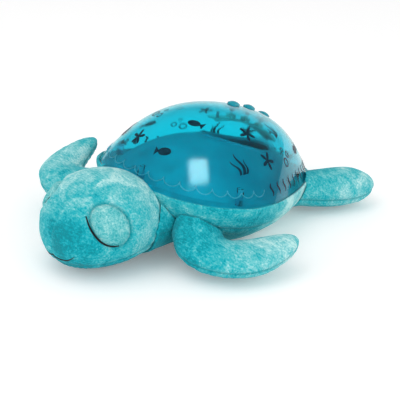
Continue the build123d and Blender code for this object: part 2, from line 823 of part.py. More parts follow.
write("shell_dome", in_module(make_shell_dome()))
write("base_tray", in_module(make_base_tray()))
write("battery_door", in_module(make_battery_door()))
write("door_screw", in_module(make_door_screw()))
write("battery_cells", in_module(make_battery_cells()))
write("cell_contacts", in_module(make_cell_contacts()))
write("deck_plate", in_module(make_deck_plate()))
write("light_board", in_module(make_light_board()))
write("lamps", in_module(make_lamps()))
write("projector_cup", in_module(make_projector_cup()))
write("disc_axle", in_module(make_disc_axle()))
write("axle_clip", in_module(make_axle_clip()))
write("wave_disc", in_module(make_wave_disc()))
write("drive_pinion", in_module(make_drive_pinion()))
write("motor_shaft", in_module(make_motor_shaft()))
write("gear_motor", in_module(make_gear_motor()))
write("motor_screws", in_module(make_motor_screws()))
for name, v in zip(button_names, button_places):
    write(f"button_{name}", in_module(make_button(v)))
write("button_switches", in_module(make_button_switches()))
write("switch_bracket", in_module(make_switch_bracket()))
write("bracket_screws", in_module(make_bracket_screws()))
write("case_screws", in_module(make_case_screws()))
write("speaker", in_module(make_speaker()))
write("control_board", in_module(make_control_board()))
write("board_components", in_module(make_board_components()))
write("board_screws", in_module(make_board_screws()))
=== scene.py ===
import math

import bpy
import numpy as np
from mathutils import Matrix, Vector, noise
from mathutils.bvhtree import BVHTree


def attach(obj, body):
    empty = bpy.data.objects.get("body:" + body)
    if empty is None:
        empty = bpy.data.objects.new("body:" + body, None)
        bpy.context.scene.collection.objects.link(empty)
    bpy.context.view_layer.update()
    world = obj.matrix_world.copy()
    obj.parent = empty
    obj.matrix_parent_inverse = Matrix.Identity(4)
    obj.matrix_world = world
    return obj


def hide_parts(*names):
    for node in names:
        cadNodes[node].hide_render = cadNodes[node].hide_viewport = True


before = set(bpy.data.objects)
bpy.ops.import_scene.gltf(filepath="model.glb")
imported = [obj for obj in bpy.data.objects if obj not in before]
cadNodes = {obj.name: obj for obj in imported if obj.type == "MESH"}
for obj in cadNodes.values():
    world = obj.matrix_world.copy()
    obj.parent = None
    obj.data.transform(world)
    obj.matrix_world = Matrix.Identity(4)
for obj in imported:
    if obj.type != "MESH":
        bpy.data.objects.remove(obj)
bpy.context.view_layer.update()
scene = bpy.context.scene
scene.view_settings.view_transform = "Standard"
mm = 0.001
sewnTo = {name: BVHTree.FromObject(cadNodes[name], bpy.context.evaluated_depsgraph_get())
          for name in ("body_plush", "neck_plush", "head_plush")}
print("frame loaded:", len(cadNodes), "solids")


# Small tools

def linear(hexText):
    channels = [int(hexText[i:i + 2], 16) / 255 for i in (1, 3, 5)]
    return [c / 12.92 if c <= 0.04045 else ((c + 0.055) / 1.055) ** 2.4 for c in channels] + [1.0]


def addNode(tree, kind, inputs=None, stops=None, **settings):
    made = tree.nodes.new("ShaderNode" + kind)
    for name, value in settings.items():
        setattr(made, name, value)
    if stops:  # a colour ramp's (place, hex colour) pairs
        ramp = made.color_ramp.elements
        while len(ramp) < len(stops):
            ramp.new(0.5)
        for element, (place, colour) in zip(ramp, stops):
            element.position = place
            element.color = linear(colour)
    for name, value in (inputs or {}).items():
        if isinstance(value, bpy.types.NodeSocket):
            tree.links.new(value, made.inputs[name])
        else:
            made.inputs[name].default_value = value
    return made


def newMaterial(name):
    made = bpy.data.materials.new(name)
    made.use_nodes = True
    made.node_tree.nodes.clear()
    return made, made.node_tree


def deselect():
    if bpy.context.object and bpy.context.object.mode != "OBJECT":
        bpy.ops.object.mode_set(mode="OBJECT")
    bpy.ops.object.select_all(action="DESELECT")


def activate(piece):
    deselect()
    piece.select_set(True)
    bpy.context.view_layer.objects.active = piece


def places(piece):
    flat = np.empty(len(piece.data.vertices) * 3)
    piece.data.vertices.foreach_get("co", flat)
    return flat.reshape(-1, 3)


def place(piece, points):
    piece.data.vertices.foreach_set("co", np.ascontiguousarray(points).ravel())
    piece.data.update()


def facing(piece):
    flat = np.empty(len(piece.data.vertices) * 3, np.float32)
    piece.data.vertex_normals.foreach_get("vector", flat)
    return flat.reshape(-1, 3).astype(float)


def paint(piece, name, values):
    attribute = piece.data.attributes.get(name) or piece.data.attributes.new(name, "FLOAT", "POINT")
    attribute.data.foreach_set("value", np.asarray(values, np.float32))


def applyModifier(piece, kind, **settings):
    activate(piece)
    made = piece.modifiers.new(kind.lower(), kind)
    for name, value in settings.items():
        setattr(made, name, value)
    bpy.ops.object.modifier_apply(modifier=made.name)


def combine(piece, other, operation):
    applyModifier(piece, "BOOLEAN", object=other, operation=operation, solver="EXACT")
    bpy.data.objects.remove(other)


def mergeAndTurnOut(piece, reach=2e-5):
    activate(piece)
    bpy.ops.object.mode_set(mode="EDIT")
    bpy.ops.mesh.select_all(action="SELECT")
    bpy.ops.mesh.remove_doubles(threshold=reach)
    bpy.ops.mesh.normals_make_consistent(inside=False)
    bpy.ops.object.mode_set(mode="OBJECT")


def smoothShade(piece, angle=None):
    activate(piece)
    if angle is None:
        bpy.ops.object.shade_smooth()
    else:
        bpy.ops.object.shade_smooth_by_angle(angle=math.radians(angle))


def joinPieces(pieces, name):
    deselect()
    for piece in pieces:
        piece.select_set(True)
    bpy.context.view_layer.objects.active = pieces[0]
    bpy.ops.object.join()
    pieces[0].name = name
    return pieces[0]


def finishPiece(piece, material, body="turtle", replaced=()):
    piece.data.materials.clear()
    piece.data.materials.append(material)
    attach(piece, body)
    if replaced:
        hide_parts(*replaced)


def treeOf(piece):
    return BVHTree.FromObject(piece, bpy.context.evaluated_depsgraph_get())


def ease(low, high, values):
    t = np.clip((np.asarray(values, float) - low) / (high - low), 0, 1)
    return t * t * (3 - 2 * t)


def smoothRun(knots, count):
    # even run of points on a smooth curve through the knots, with the share of the way along
    knots = np.array(knots, float)
    at = np.linspace(0, len(knots) - 1, count)
    low = np.minimum(at.astype(int), len(knots) - 2)
    t = (at - low)[:, None]
    before = knots[np.maximum(low - 1, 0)]
    after = knots[np.minimum(low + 2, len(knots) - 1)]
    a, b = knots[low], knots[low + 1]
    line = 0.5 * (2 * a + (b - before) * t + (2 * before - 5 * a + 4 * b - after) * t ** 2
                  + (3 * a - before - 3 * b + after) * t ** 3)
    return line, at / (len(knots) - 1)


def tubeAlong(name, points, radius, shares=None, closed=False, sides=2):
    # round tube through points in metres; shares make it thinner or thicker along its run
    curve = bpy.data.curves.new(name, "CURVE")
    curve.dimensions = "3D"
    curve.bevel_depth = radius * mm
    curve.bevel_resolution = sides
    curve.use_fill_caps = True
    spline = curve.splines.new("POLY")
    spline.points.add(len(points) - 1)
    for i, (knot, spot) in enumerate(zip(spline.points, points)):
        knot.co = (*spot, 1)
        knot.radius = 1 if shares is None else shares[i]
    spline.use_cyclic_u = closed
    tube = bpy.data.objects.new(name, curve)
    scene.collection.objects.link(tube)
    activate(tube)
    bpy.ops.object.convert(target="MESH")
    tube = bpy.context.object
    smoothShade(tube)
    return tube


# Stage, camera and light

shot = {"azimuth": 47.85, "elevation": 21.82, "distance": 0.921, "aim": (0, 0, 0.042), "angle": 22.0,
        "shiftX": -19.03 / 400, "shiftY": -27.51 / 400}
studio = {"ambient": 0.78, "floorLift": 0.15, "floorSize": 12.0, "floorDrop": 0.0004, "roomLevel": 0.22,
          "backdrop": (-0.741, 0.671, 0), "backdropEdge": (0.93, 0.82), "backdropTop": (0.12, 0.4),
          "overhead": {"spot": (0.0, -0.5, 1.25), "aim": (0, 0, 0.05), "power": 2.6, "size": (1.0, 1.0)},
          "frontFill": {"spot": (-0.2, -1.7, 0.7), "aim": (0, 0, 0.05), "power": 4.6, "size": (1.2, 1.2)},
          "sideFill": {"spot": (1.5, -0.1, 0.45), "aim": (0, 0, 0.05), "power": 6.5, "size": (1.2, 1.2)},
          "glossCard": {"spot": (0.029, -0.501, 1.088), "aim": (0.051, -0.068, 0.078), "power": 10.5,
                        "size": (0.62, 0.44), "along": (0.74, 0.61, 0.28), "edge": 0.32}}


def makeCamera():
    azimuth, elevation = math.radians(shot["azimuth"]), math.radians(shot["elevation"])
    back = Vector((math.sin(azimuth) * math.cos(elevation), -math.cos(azimuth) * math.cos(elevation),
                   math.sin(elevation)))
    deselect()
    bpy.ops.object.camera_add(location=Vector(shot["aim"]) + back * shot["distance"])
    camera = bpy.context.object
    camera.rotation_mode = "QUATERNION"
    camera.rotation_quaternion = (-back).to_track_quat("-Z", "Y")
    camera.data.angle = math.radians(shot["angle"])
    camera.data.shift_x, camera.data.shift_y = shot["shiftX"], shot["shiftY"]
    scene.camera = camera


def addLamp(name, spot, aim, power, size, along=(1, 0, 0), edge=None):
    # without an edge it is a plain softbox for the even light; with one it is the small box that
    # the gloss mirrors, which fades out over that share of its face
    deselect()
    bpy.ops.object.light_add(type="AREA", location=spot)
    lamp = bpy.context.object
    lamp.name = name
    lamp.data.energy = power
    lamp.data.shape = "RECTANGLE"
    lamp.data.size, lamp.data.size_y = size
    back = (Vector(spot) - Vector(aim)).normalized()
    across = (Vector(along) - back * back.dot(Vector(along))).normalized()
    lamp.rotation_mode = "QUATERNION"
    lamp.rotation_quaternion = Matrix((across, back.cross(across), back)).transposed().to_quaternion()
    lamp.visible_glossy = edge is not None
    lamp.visible_diffuse = edge is None
    if edge is None:
        return
    lamp.data.use_nodes = True
    tree = lamp.data.node_tree
    tree.nodes.clear()
    face = addNode(tree, "SeparateXYZ", {0: addNode(tree, "NewGeometry").outputs["Parametric"]})
    fades = []
    for part in face.outputs[:2]:
        inside = addNode(tree, "Math", {0: part, 1: 0.5}, operation="PINGPONG")
        fades.append(addNode(tree, "MapRange", {"Value": inside.outputs[0], "From Max": edge},
                             interpolation_type="SMOOTHSTEP").outputs[0])
    level = addNode(tree, "Math", {0: fades[0], 1: fades[1]}, operation="MULTIPLY")
    glow = addNode(tree, "Emission", {"Strength": level.outputs[0]})
    addNode(tree, "OutputLight", {"Surface": glow.outputs[0]})


def directSight(tree, path):
    # 1 for rays from the camera, straight or by way of gloss or glass, 0 for the light that falls on things
    seen = 0.0
    for kind in ("Is Camera Ray", "Is Glossy Ray", "Is Transmission Ray"):
        seen = addNode(tree, "Math", {0: path.outputs[kind], 1: seen}, operation="MAXIMUM").outputs[0]
    return seen


def makeFloor():
    deselect()
    bpy.ops.mesh.primitive_plane_add(size=studio["floorSize"], location=(0, 0, -studio["floorDrop"]))
    floor = bpy.context.object
    floor.name = "studio_floor"
    material, tree = newMaterial("white paper sweep")  # matt white, keeps the soft shadow
    seen = directSight(tree, addNode(tree, "LightPath"))
    lift = addNode(tree, "Math", {0: seen, 1: studio["floorLift"]}, operation="MULTIPLY")
    paper = addNode(tree, "BsdfDiffuse", {"Color": linear("#fafafa")})
    glow = addNode(tree, "Emission", {"Color": (1, 1, 1, 1), "Strength": lift.outputs[0]})
    both = addNode(tree, "AddShader", {0: paper.outputs[0], 1: glow.outputs[0]})
    addNode(tree, "OutputMaterial", {"Surface": both.outputs[0]})
    floor.data.materials.append(material)


def makeWorld():
    # white all round; what is glossy sees a white backdrop behind the object and a dimmer room elsewhere
    world = bpy.data.worlds.new("studio")
    world.use_nodes = True
    scene.world = world
    tree = world.node_tree
    tree.nodes.clear()
    path = addNode(tree, "LightPath")
    level = addNode(tree, "MapRange", {"Value": directSight(tree, path), "To Min": studio["ambient"]})
    aim = addNode(tree, "TexCoord").outputs["Generated"]
    height = addNode(tree, "SeparateXYZ", {0: aim}).outputs[2]
    ahead = addNode(tree, "VectorMath", {0: aim, 1: studio["backdrop"]}, operation="DOT_PRODUCT")
    near, far = studio["backdropEdge"]
    aside = addNode(tree, "MapRange", {"Value": ahead.outputs["Value"], "From Min": near, "From Max": far})
    low, high = studio["backdropTop"]
    above = addNode(tree, "MapRange", {"Value": height, "From Min": low, "From Max": high})
    away = addNode(tree, "Math", {0: aside.outputs[0], 1: above.outputs[0]}, operation="MAXIMUM")
    dim = addNode(tree, "Math", {0: away.outputs[0], 1: 1 - studio["roomLevel"]}, operation="MULTIPLY")
    dim = addNode(tree, "Math", {0: dim.outputs[0], 1: path.outputs["Is Glossy Ray"]}, operation="MULTIPLY")
    level = addNode(tree, "Math", {0: level.outputs[0], 1: dim.outputs[0]}, operation="SUBTRACT")
    sky = addNode(tree, "Background", {"Color": (1, 1, 1, 1), "Strength": level.outputs[0]})
    addNode(tree, "OutputWorld", {"Surface": sky.outputs[0]})


makeCamera()
makeFloor()
makeWorld()
for name in ("overhead", "frontFill", "sideFill", "glossCard"):
    addLamp(name, **studio[name])
print("stage ready")


# What several materials share

def patternedSurface(tree, pattern, stops, rough, relief, depth, colourBy=None, **more):
    # colour, gloss and fine relief follow one pattern, or the colour follows another; further inputs of
    # the surface are given with underscores for their spaces
    tint = pattern if colourBy is None else colourBy
    colour = addNode(tree, "ValToRGB", {"Fac": tint.outputs[0]}, stops=stops)
    gloss = addNode(tree, "MapRange", {"Value": pattern.outputs[0], "To Min": rough[0], "To Max": rough[1]})
    bump = addNode(tree, "Bump", {"Height": pattern.outputs[0], "Strength": relief, "Distance": depth * mm})
    surface = addNode(tree, "BsdfPrincipled", {
        "Base Color": colour.outputs[0], "Roughness": gloss.outputs[0], "Normal": bump.outputs[0],
        **{name.replace("_", " "): value for name, value in more.items()}})
    addNode(tree, "OutputMaterial", {"Surface": surface.outputs[0]})


def cloudyMaterial(name, size, detail, stops, rough, relief, depth, **more):
    # one soft cloud, its size in mm, drives all of it
    material, tree = newMaterial(name)
    spot = addNode(tree, "TexCoord").outputs["Object"]
    cloud = addNode(tree, "TexNoise", {"Vector": spot, "Scale": 1 / (size * mm), "Detail": detail})
    patternedSurface(tree, cloud, stops, rough, relief, depth, **more)
    return material


def letLampsThrough(tree, plastic, tint):
    # clear plastic throws only a tinted shadow, so that what lies behind it is lit
    lamplight = addNode(tree, "BsdfTransparent", {"Color": linear(tint)})
    path = addNode(tree, "LightPath")
    through = addNode(tree, "MixShader", {0: path.outputs["Is Shadow Ray"], 1: plastic.outputs[0],
                                          2: lamplight.outputs[0]})
    addNode(tree, "OutputMaterial", {"Surface": through.outputs[0]})


# Shell: tinted clear dome with a moulded wave line and small prints

shell = {"halfLength": 98.0, "halfBeam": 82.0, "flare": -0.47, "fullness": 0.15, "crown": 63.0,
         "crownFull": 0.465, "crownLean": -0.145, "tilt": 9.5, "rimHeight": 42.0, "wall": 2.0,
         "segments": 256, "rings": 150, "buttonPlaces": (7.0, 27.0, 47.0), "buttonHole": 5.85,
         "cutterDepth": 20.0}
bosses = {"share": 0.915, "angles": (-90, -35, -145, 25, 155, 90), "radius": 3.1, "drop": 1.0}
waveLine = {"waves": 16, "from": -152.0, "to": -18.0, "curl": 1.08, "height": 1.7, "share": 0.945,
            "radius": 0.5, "stepsPerWave": 16}
prints = {"thickness": 0.12, "lift": 0.05, "dark": "#022230", "pale": "#0c4356", "waveTall": 11.0,
          "waveShare": 0.94, "waveSpin": -0.3, "waveDegrees": (*range(-11, 200, 7), *range(-160, -152, 7))}


def planFlare(s):
    return 1 + shell["flare"] * s + shell["fullness"] * s * s


def toWorld(x, v, w):
    tilt = math.radians(shell["tilt"])
    c, s = math.cos(tilt), math.sin(tilt)
    return np.stack([x, v * c + w * s, -v * s + w * c + shell["rimHeight"]], -1) * mm


def domePoints(share, turn):
    # share runs from the middle to the rim, turn goes round from the left flank towards the tail
    s = share * np.sin(turn)
    swell = 1 + shell["crownFull"] * share ** 2 + shell["crownLean"] * s
    return toWorld(shell["halfBeam"] * planFlare(s) * share * np.cos(turn), shell["halfLength"] * s,
                   shell["crown"] * (1 - share ** 2) * swell)


def domeNormals(share, turn):
    step = 1e-3
    along = domePoints(share, turn + step) - domePoints(share, turn - step)
    inward = domePoints(share - step, turn) - domePoints(share + step, turn)
    normal = np.cross(along, inward)
    return normal / np.linalg.norm(normal, axis=-1, keepdims=True)


def planPoints(turn, grow, w):
    s = np.sin(turn)
    return toWorld((shell["halfBeam"] + grow) * np.cos(turn) * planFlare(s), (shell["halfLength"] + grow) * s,
                   w * np.ones_like(turn))


def tintedShellPlastic():
    # clear polycarbonate tinted sea blue, injection moulded and polished: sharp gloss, white at grazing
    # angles, and the deck and the far wall show through it
    material, tree = newMaterial("tinted polycarbonate, moulded and polished")
    spot = addNode(tree, "TexCoord").outputs["Object"]
    haze = addNode(tree, "TexNoise", {"Vector": spot, "Scale": 1 / (35 * mm), "Detail": 2.0})
    rough = addNode(tree, "MapRange", {"Value": haze.outputs[0], "To Min": 0.04, "To Max": 0.10})
    colour = addNode(tree, "ValToRGB", {"Fac": haze.outputs[0]}, stops=((0.3, "#05dfee"), (0.7, "#0ae6f4")))
    ripple = addNode(tree, "TexNoise", {"Vector": spot, "Scale": 1 / (22 * mm)})
    flow = addNode(tree, "Bump", {"Height": ripple.outputs[0], "Strength": 0.06, "Distance": 2 * mm})
    plastic = addNode(tree, "BsdfPrincipled", {
        "Base Color": colour.outputs[0], "Roughness": rough.outputs[0], "IOR": 1.36,
        "Transmission Weight": 1.0, "Normal": flow.outputs[0]})
    letLampsThrough(tree, plastic, "#1cbcc8")
    return material


def waveLinePlastic():
    # the same polycarbonate, left matt from the mould on the raised line: reads paler than the polished wall
    return cloudyMaterial("tinted polycarbonate, matt moulded line", 1.2, 2.0,
                          ((0.3, "#1fb9d2"), (0.7, "#3fcce0")), (0.22, 0.42), 0.15, 0.2,
                          IOR=1.42, Transmission_Weight=0.55)


def shellInk():
    # pad-printed ink on polished plastic: dark slate blue, slightly uneven where the pad lifted
    return cloudyMaterial("pad printing ink, satin", 2.5, 3.0,
                          ((0.3, prints["dark"]), (0.8, prints["pale"])), (0.25, 0.45), 0.1, 0.1,
                          Specular_IOR_Level=0.12)


def makeBosses():
    # the six pegs that the case screws bite into, up to the underside of the dome
    pegs = []
    turn = np.radians(bosses["angles"])
    tops = domePoints(np.full(len(turn), bosses["share"]), turn)
    rims = planPoints(turn, 0, 0.0)
    up = Vector(toWorld(0.0, 0.0, 1.0) - toWorld(0.0, 0.0, 0.0)).normalized()
    for top, rim in zip(tops, rims):
        high = (Vector(top) - Vector(rim)).dot(up) - bosses["drop"] * mm
        deselect()
        bpy.ops.mesh.primitive_cylinder_add(vertices=32, radius=bosses["radius"] * mm, depth=high,
                                            location=Vector(top) - up * (bosses["drop"] * mm + high / 2),
                                            rotation=up.to_track_quat("Z", "Y").to_euler())
        bpy.ops.object.transform_apply(location=True, rotation=True, scale=True)
        pegs.append(bpy.context.object)
    return joinPieces(pegs, "shell_bosses")


def makeDome():
    deselect()
    bpy.ops.mesh.primitive_uv_sphere_add(segments=shell["segments"], ring_count=shell["rings"], radius=1)
    dome = bpy.context.object
    dome.name = "shell_skin"
    bpy.ops.object.mode_set(mode="EDIT")
    bpy.ops.mesh.select_all(action="SELECT")
    bpy.ops.mesh.bisect(plane_co=(0, 0, 0), plane_no=(0, 0, 1), clear_inner=True)
    bpy.ops.object.mode_set(mode="OBJECT")
    ball = places(dome)
    share = np.clip(np.hypot(ball[:, 0], ball[:, 1]), 0, 1)
    place(dome, domePoints(share, np.arctan2(ball[:, 1], ball[:, 0])))
    skin = treeOf(dome)
    applyModifier(dome, "SOLIDIFY", thickness=shell["wall"] * mm, offset=-1, use_even_offset=True)
    combine(dome, makeBosses(), "UNION")
    cutters = []
    for v in shell["buttonPlaces"]:
        share = np.array(v / shell["halfLength"])
        spot = Vector(domePoints(share, np.array(math.pi / 2)))
        normal = Vector(domeNormals(share, np.array(math.pi / 2)))
        deselect()
        bpy.ops.mesh.primitive_cylinder_add(vertices=48, radius=shell["buttonHole"] * mm,
                                            depth=shell["cutterDepth"] * mm, location=spot,
                                            rotation=normal.to_track_quat("Z", "Y").to_euler())
        cutters.append(bpy.context.object)
    for cutter in cutters:
        combine(dome, cutter, "DIFFERENCE")
    smoothShade(dome, 40)
    return dome, skin


def makeWaveLine():
    # a row of curling waves round the front foot of the dome, half sunk in its wall
    count = waveLine["waves"] * waveLine["stepsPerWave"] + 1
    roll = 2 * np.pi * np.arange(count) / waveLine["stepsPerWave"]
    reach = math.radians(waveLine["to"] - waveLine["from"])
    turn = math.radians(waveLine["from"]) + (roll - waveLine["curl"] * np.sin(roll)) / roll[-1] * reach
    rise = waveLine["height"] * np.cos(roll) / shell["crown"] / 2
    points = domePoints(waveLine["share"] - rise, turn)
    return tubeAlong("shell_wave_line", points, waveLine["radius"])


def flatShape(kind, size):
    # one small print, drawn flat about its own middle, in mm
    deselect()
    if kind == "bubble":
        bpy.ops.mesh.primitive_circle_add(vertices=40, radius=1, fill_type="NGON")
        bpy.ops.object.mode_set(mode="EDIT")
        bpy.ops.mesh.inset(thickness=0.3)
        bpy.ops.mesh.delete(type="FACE")
        bpy.ops.object.mode_set(mode="OBJECT")
    elif kind in ("weed", "wave", "fish"):
        bpy.ops.mesh.primitive_grid_add(x_subdivisions=2, y_subdivisions=22, size=2)
    else:
        bpy.ops.mesh.primitive_circle_add(vertices=60, radius=1, fill_type="TRIFAN")
        bpy.ops.object.mode_set(mode="EDIT")
        bpy.ops.mesh.subdivide(number_cuts=1)
        bpy.ops.object.mode_set(mode="OBJECT")
    piece = bpy.context.object
    p = places(piece)
    around = np.arctan2(p[:, 1], p[:, 0])
    if kind == "starfish":
        p[:, :2] *= (0.62 + 0.38 * np.cos(5 * (around - np.pi / 2)))[:, None]
    elif kind == "weed":
        along = (p[:, 1] + 1) / 2
        p[:, 0] = 0.16 * p[:, 0] * (1 - 0.85 * along ** 2) + 0.2 * np.sin(5.2 * along)
    elif kind == "wave":
        along = (p[:, 1] + 1) / 2
        p[:, 0] = 0.2 * p[:, 0] * (0.3 + np.sin(np.pi * along)) + 0.24 * np.sin(2 * np.pi * along)
    elif kind == "fish":
        belly = 0.44 * np.sqrt(np.clip(1 - ((p[:, 1] - 0.22) / 0.79) ** 2, 0, 1))
        tail = 0.9 * np.clip(-0.45 - p[:, 1], 0, 1)
        p[:, 0] *= np.maximum(np.maximum(belly, tail), 0.07)
    place(piece, p * (size / 2, size / 2, 1))
    return piece


def layOnDome(piece, skin, share, turn, spin, shift=(0, 0)):
    # the flat print's plane touches the dome at its middle, and every point then drops onto the wall
    spot = domePoints(np.array(share), np.array(turn))
    normal = domeNormals(np.array(share), np.array(turn))
    across = np.cross((0, 0, 1), normal)
    across /= np.linalg.norm(across)
    upward = np.cross(normal, across)
    p = places(piece)[:, :2]
    c, s = math.cos(spin), math.sin(spin)
    a = p[:, 0] * c - p[:, 1] * s + shift[0]
    b = p[:, 0] * s + p[:, 1] * c + shift[1]
    laid = []
    for q in spot + (a[:, None] * across + b[:, None] * upward) * mm:
        near, out = skin.find_nearest(Vector(q))[:2]
        laid.append(near + out * prints["lift"] * mm)
    place(piece, np.array(laid))
    applyModifier(piece, "SOLIDIFY", thickness=prints["thickness"] * mm, offset=1)
    return piece


def makePrints(skin):
    made = []
    # kind, share of the way to the rim, degrees round, size, spin
    layout = [("weed", 0.81, -131, 18, 0.1), ("starfish", 0.80, -106, 16, 0.3), ("fish", 0.82, -83, 17, -1.4),
              ("weed", 0.80, -34, 20, 0.0), ("starfish", 0.79, -9, 17, 0.5), ("bubble", 0.80, 16, 17, 0.0),
              ("bubble", 0.60, -118, 16, 0.4), ("fish", 0.56, -72, 16, 1.3), ("starfish", 0.58, -22, 16, 0.1),
              ("weed", 0.56, 18, 16, -0.2), ("fish", 0.80, 44, 17, 1.5), ("starfish", 0.80, 128, 16, 0.2),
              ("weed", 0.80, 152, 18, 0.1), ("bubble", 0.80, 178, 16, 0.0), ("fish", 0.80, -157, 17, 1.5),
              ("starfish", 0.56, 166, 14, 0.4), ("bubble", 0.55, -160, 14, 0.1)]
    for degree in prints["waveDegrees"]:
        layout.append(("wave", prints["waveShare"], degree, prints["waveTall"], prints["waveSpin"]))
    for kind, share, degree, size, spin in layout:
        turn = math.radians(degree)
        if kind == "bubble":
            for dx, dy, part in ((-0.28, -0.22, 0.5), (0.30, 0.02, 0.38), (-0.05, 0.42, 0.27)):
                ring = flatShape(kind, size * part)
                made.append(layOnDome(ring, skin, share, turn, spin, (dx * size, dy * size)))
        elif kind == "weed":
            for dx, part, lean in ((-0.24, 0.75, 0.22), (0.0, 1.0, 0.0), (0.22, 0.65, -0.25)):
                blade = flatShape(kind, size * part)
                foot = (dx * size, (part - 1) * size / 2)
                made.append(layOnDome(blade, skin, share, turn, spin + lean, foot))
        else:
            made.append(layOnDome(flatShape(kind, size), skin, share, turn, spin))
    return joinPieces(made, "shell_prints")


dome, domeSkin = makeDome()
finishPiece(dome, tintedShellPlastic(), replaced=("shell_dome",))
finishPiece(makeWaveLine(), waveLinePlastic())
finishPiece(makePrints(domeSkin), shellInk())
print("shell ready:", len(dome.data.polygons), "faces")


# Finishes of the light module and the zip

def mouldedPlastic(name, dark, pale, rough, grain, relief):
    # injection moulded: even colour with a faint cloud, and the mould's own grain
    material, tree = newMaterial(name)
    spot = addNode(tree, "TexCoord").outputs["Object"]
    cloud = addNode(tree, "TexNoise", {"Vector": spot, "Scale": 1 / (12 * grain * mm), "Detail": 3.0})
    spark = addNode(tree, "TexNoise", {"Vector": spot, "Scale": 1 / (grain * mm), "Detail": 2.0})
    patternedSurface(tree, spark, ((0.3, dark), (0.7, pale)), rough, relief, 0.15, colourBy=cloud)
    return material


def platedMetal(name, dark, pale, rough, grain, metallic):
    # plated or lacquered metal: streaks left by drawing and turning, soft changes of gloss
    material, tree = newMaterial(name)
    spot = addNode(tree, "TexCoord").outputs["Object"]
    fine = 1 / (grain * mm)
    drawn = addNode(tree, "Mapping", {"Vector": spot, "Scale": (fine, fine, 0.15 * fine)})
    streak = addNode(tree, "TexNoise", {"Vector": drawn.outputs[0], "Scale": 1.0, "Detail": 3.0})
    patternedSurface(tree, streak, ((0.3, dark), (0.7, pale)), rough, 0.12, 0.1, Metallic=metallic)
    return material


def circuitBoard():
    # glass epoxy board under green solder resist, which lies a little higher over the copper tracks
    material, tree = newMaterial("glass epoxy board, green solder resist")
    spot = addNode(tree, "TexCoord").outputs["Object"]
    tracks = addNode(tree, "TexBrick", {"Vector": spot, "Scale": 1 / (9 * mm), "Mortar Size": 0.06,
                                        "Color1": linear("#0c4a24"), "Color2": linear("#0f5329"),
                                        "Mortar": linear("#1d7a40")})
    fibre = addNode(tree, "TexNoise", {"Vector": spot, "Scale": 1 / (0.6 * mm)})
    gloss = addNode(tree, "MapRange", {"Value": fibre.outputs[0], "To Min": 0.25, "To Max": 0.45})
    bump = addNode(tree, "Bump", {"Height": tracks.outputs["Fac"], "Strength": 0.3, "Distance": 0.05 * mm})
    board = addNode(tree, "BsdfPrincipled", {"Base Color": tracks.outputs["Color"],
                                             "Roughness": gloss.outputs[0], "Normal": bump.outputs[0]})
    addNode(tree, "OutputMaterial", {"Surface": board.outputs[0]})
    return material


def clearMoulding(name, tint, rough, clearness):
    # clear plastic: bright edges, and what is behind shows bent, dimmer where the surface is satin
    material, tree = newMaterial(name)
    spot = addNode(tree, "TexCoord").outputs["Object"]
    flow = addNode(tree, "TexNoise", {"Vector": spot, "Scale": 1 / (8 * mm)})
    gloss = addNode(tree, "MapRange", {"Value": flow.outputs[0], "To Min": rough[0], "To Max": rough[1]})
    bump = addNode(tree, "Bump", {"Height": flow.outputs[0], "Strength": 0.1, "Distance": 0.5 * mm})
    clear = addNode(tree, "BsdfPrincipled", {
        "Base Color": linear(tint), "Roughness": gloss.outputs[0], "IOR": 1.49,
        "Transmission Weight": clearness, "Normal": bump.outputs[0]})
    letLampsThrough(tree, clear, tint)
    return material


def buttonPlastic():
    # the shell's polycarbonate with a white filler: milky sea blue, glossy, a little light comes through
    return cloudyMaterial("milky polycarbonate, moulded and polished", 6.0, 2.0,
                          ((0.3, "#10a5b9"), (0.7, "#2cbacb")), (0.08, 0.16), 0.05, 0.3,
                          Transmission_Weight=0.25, Coat_Weight=0.4, Coat_Roughness=0.05)


# Plush: stuffed pieces of short-pile velour

plushLook = {"mottle": 17.0, "streakLong": 5.0, "streakShort": 1.3, "fleck": 1.6, "pileBump": 0.8,
             "dyes": ((0.0, "#058d99"), (0.24, "#08a9b8"), (0.48, "#46bcc3"), (0.74, "#85d0d4"),
                      (1.0, "#bde9e7")),
             # the seam colour is the painted shade in the seam grooves
             "mottleShare": 1.5, "streakShare": 0.9, "fleckShare": 0.85, "seamShade": "#05808b"}
lidLook = dict(plushLook, mottle=9.0, fleck=1.3, fleckShare=1.5,
               dyes=((0.0, "#149aa3"), (0.3, "#42b2b8"), (0.55, "#69c3c7"), (0.8, "#8fd2d2"),
                     (1.0, "#b9e5e3")))
stuffing = {"pressure": 4.0, "frames": 20, "tension": 14.0, "bending": 0.6, "start": -1.2, "cap": 3.2,
            "voxel": 4.0}
sewing = {"pucker": 0.28, "puckerAway": 3.2, "puckerWidth": 1.9, "gather": 0.8, "gatherPitch": 7.0,
          "grooveShadeWidth": 0.62, "lump": 0.55, "floorHeight": 0.4}


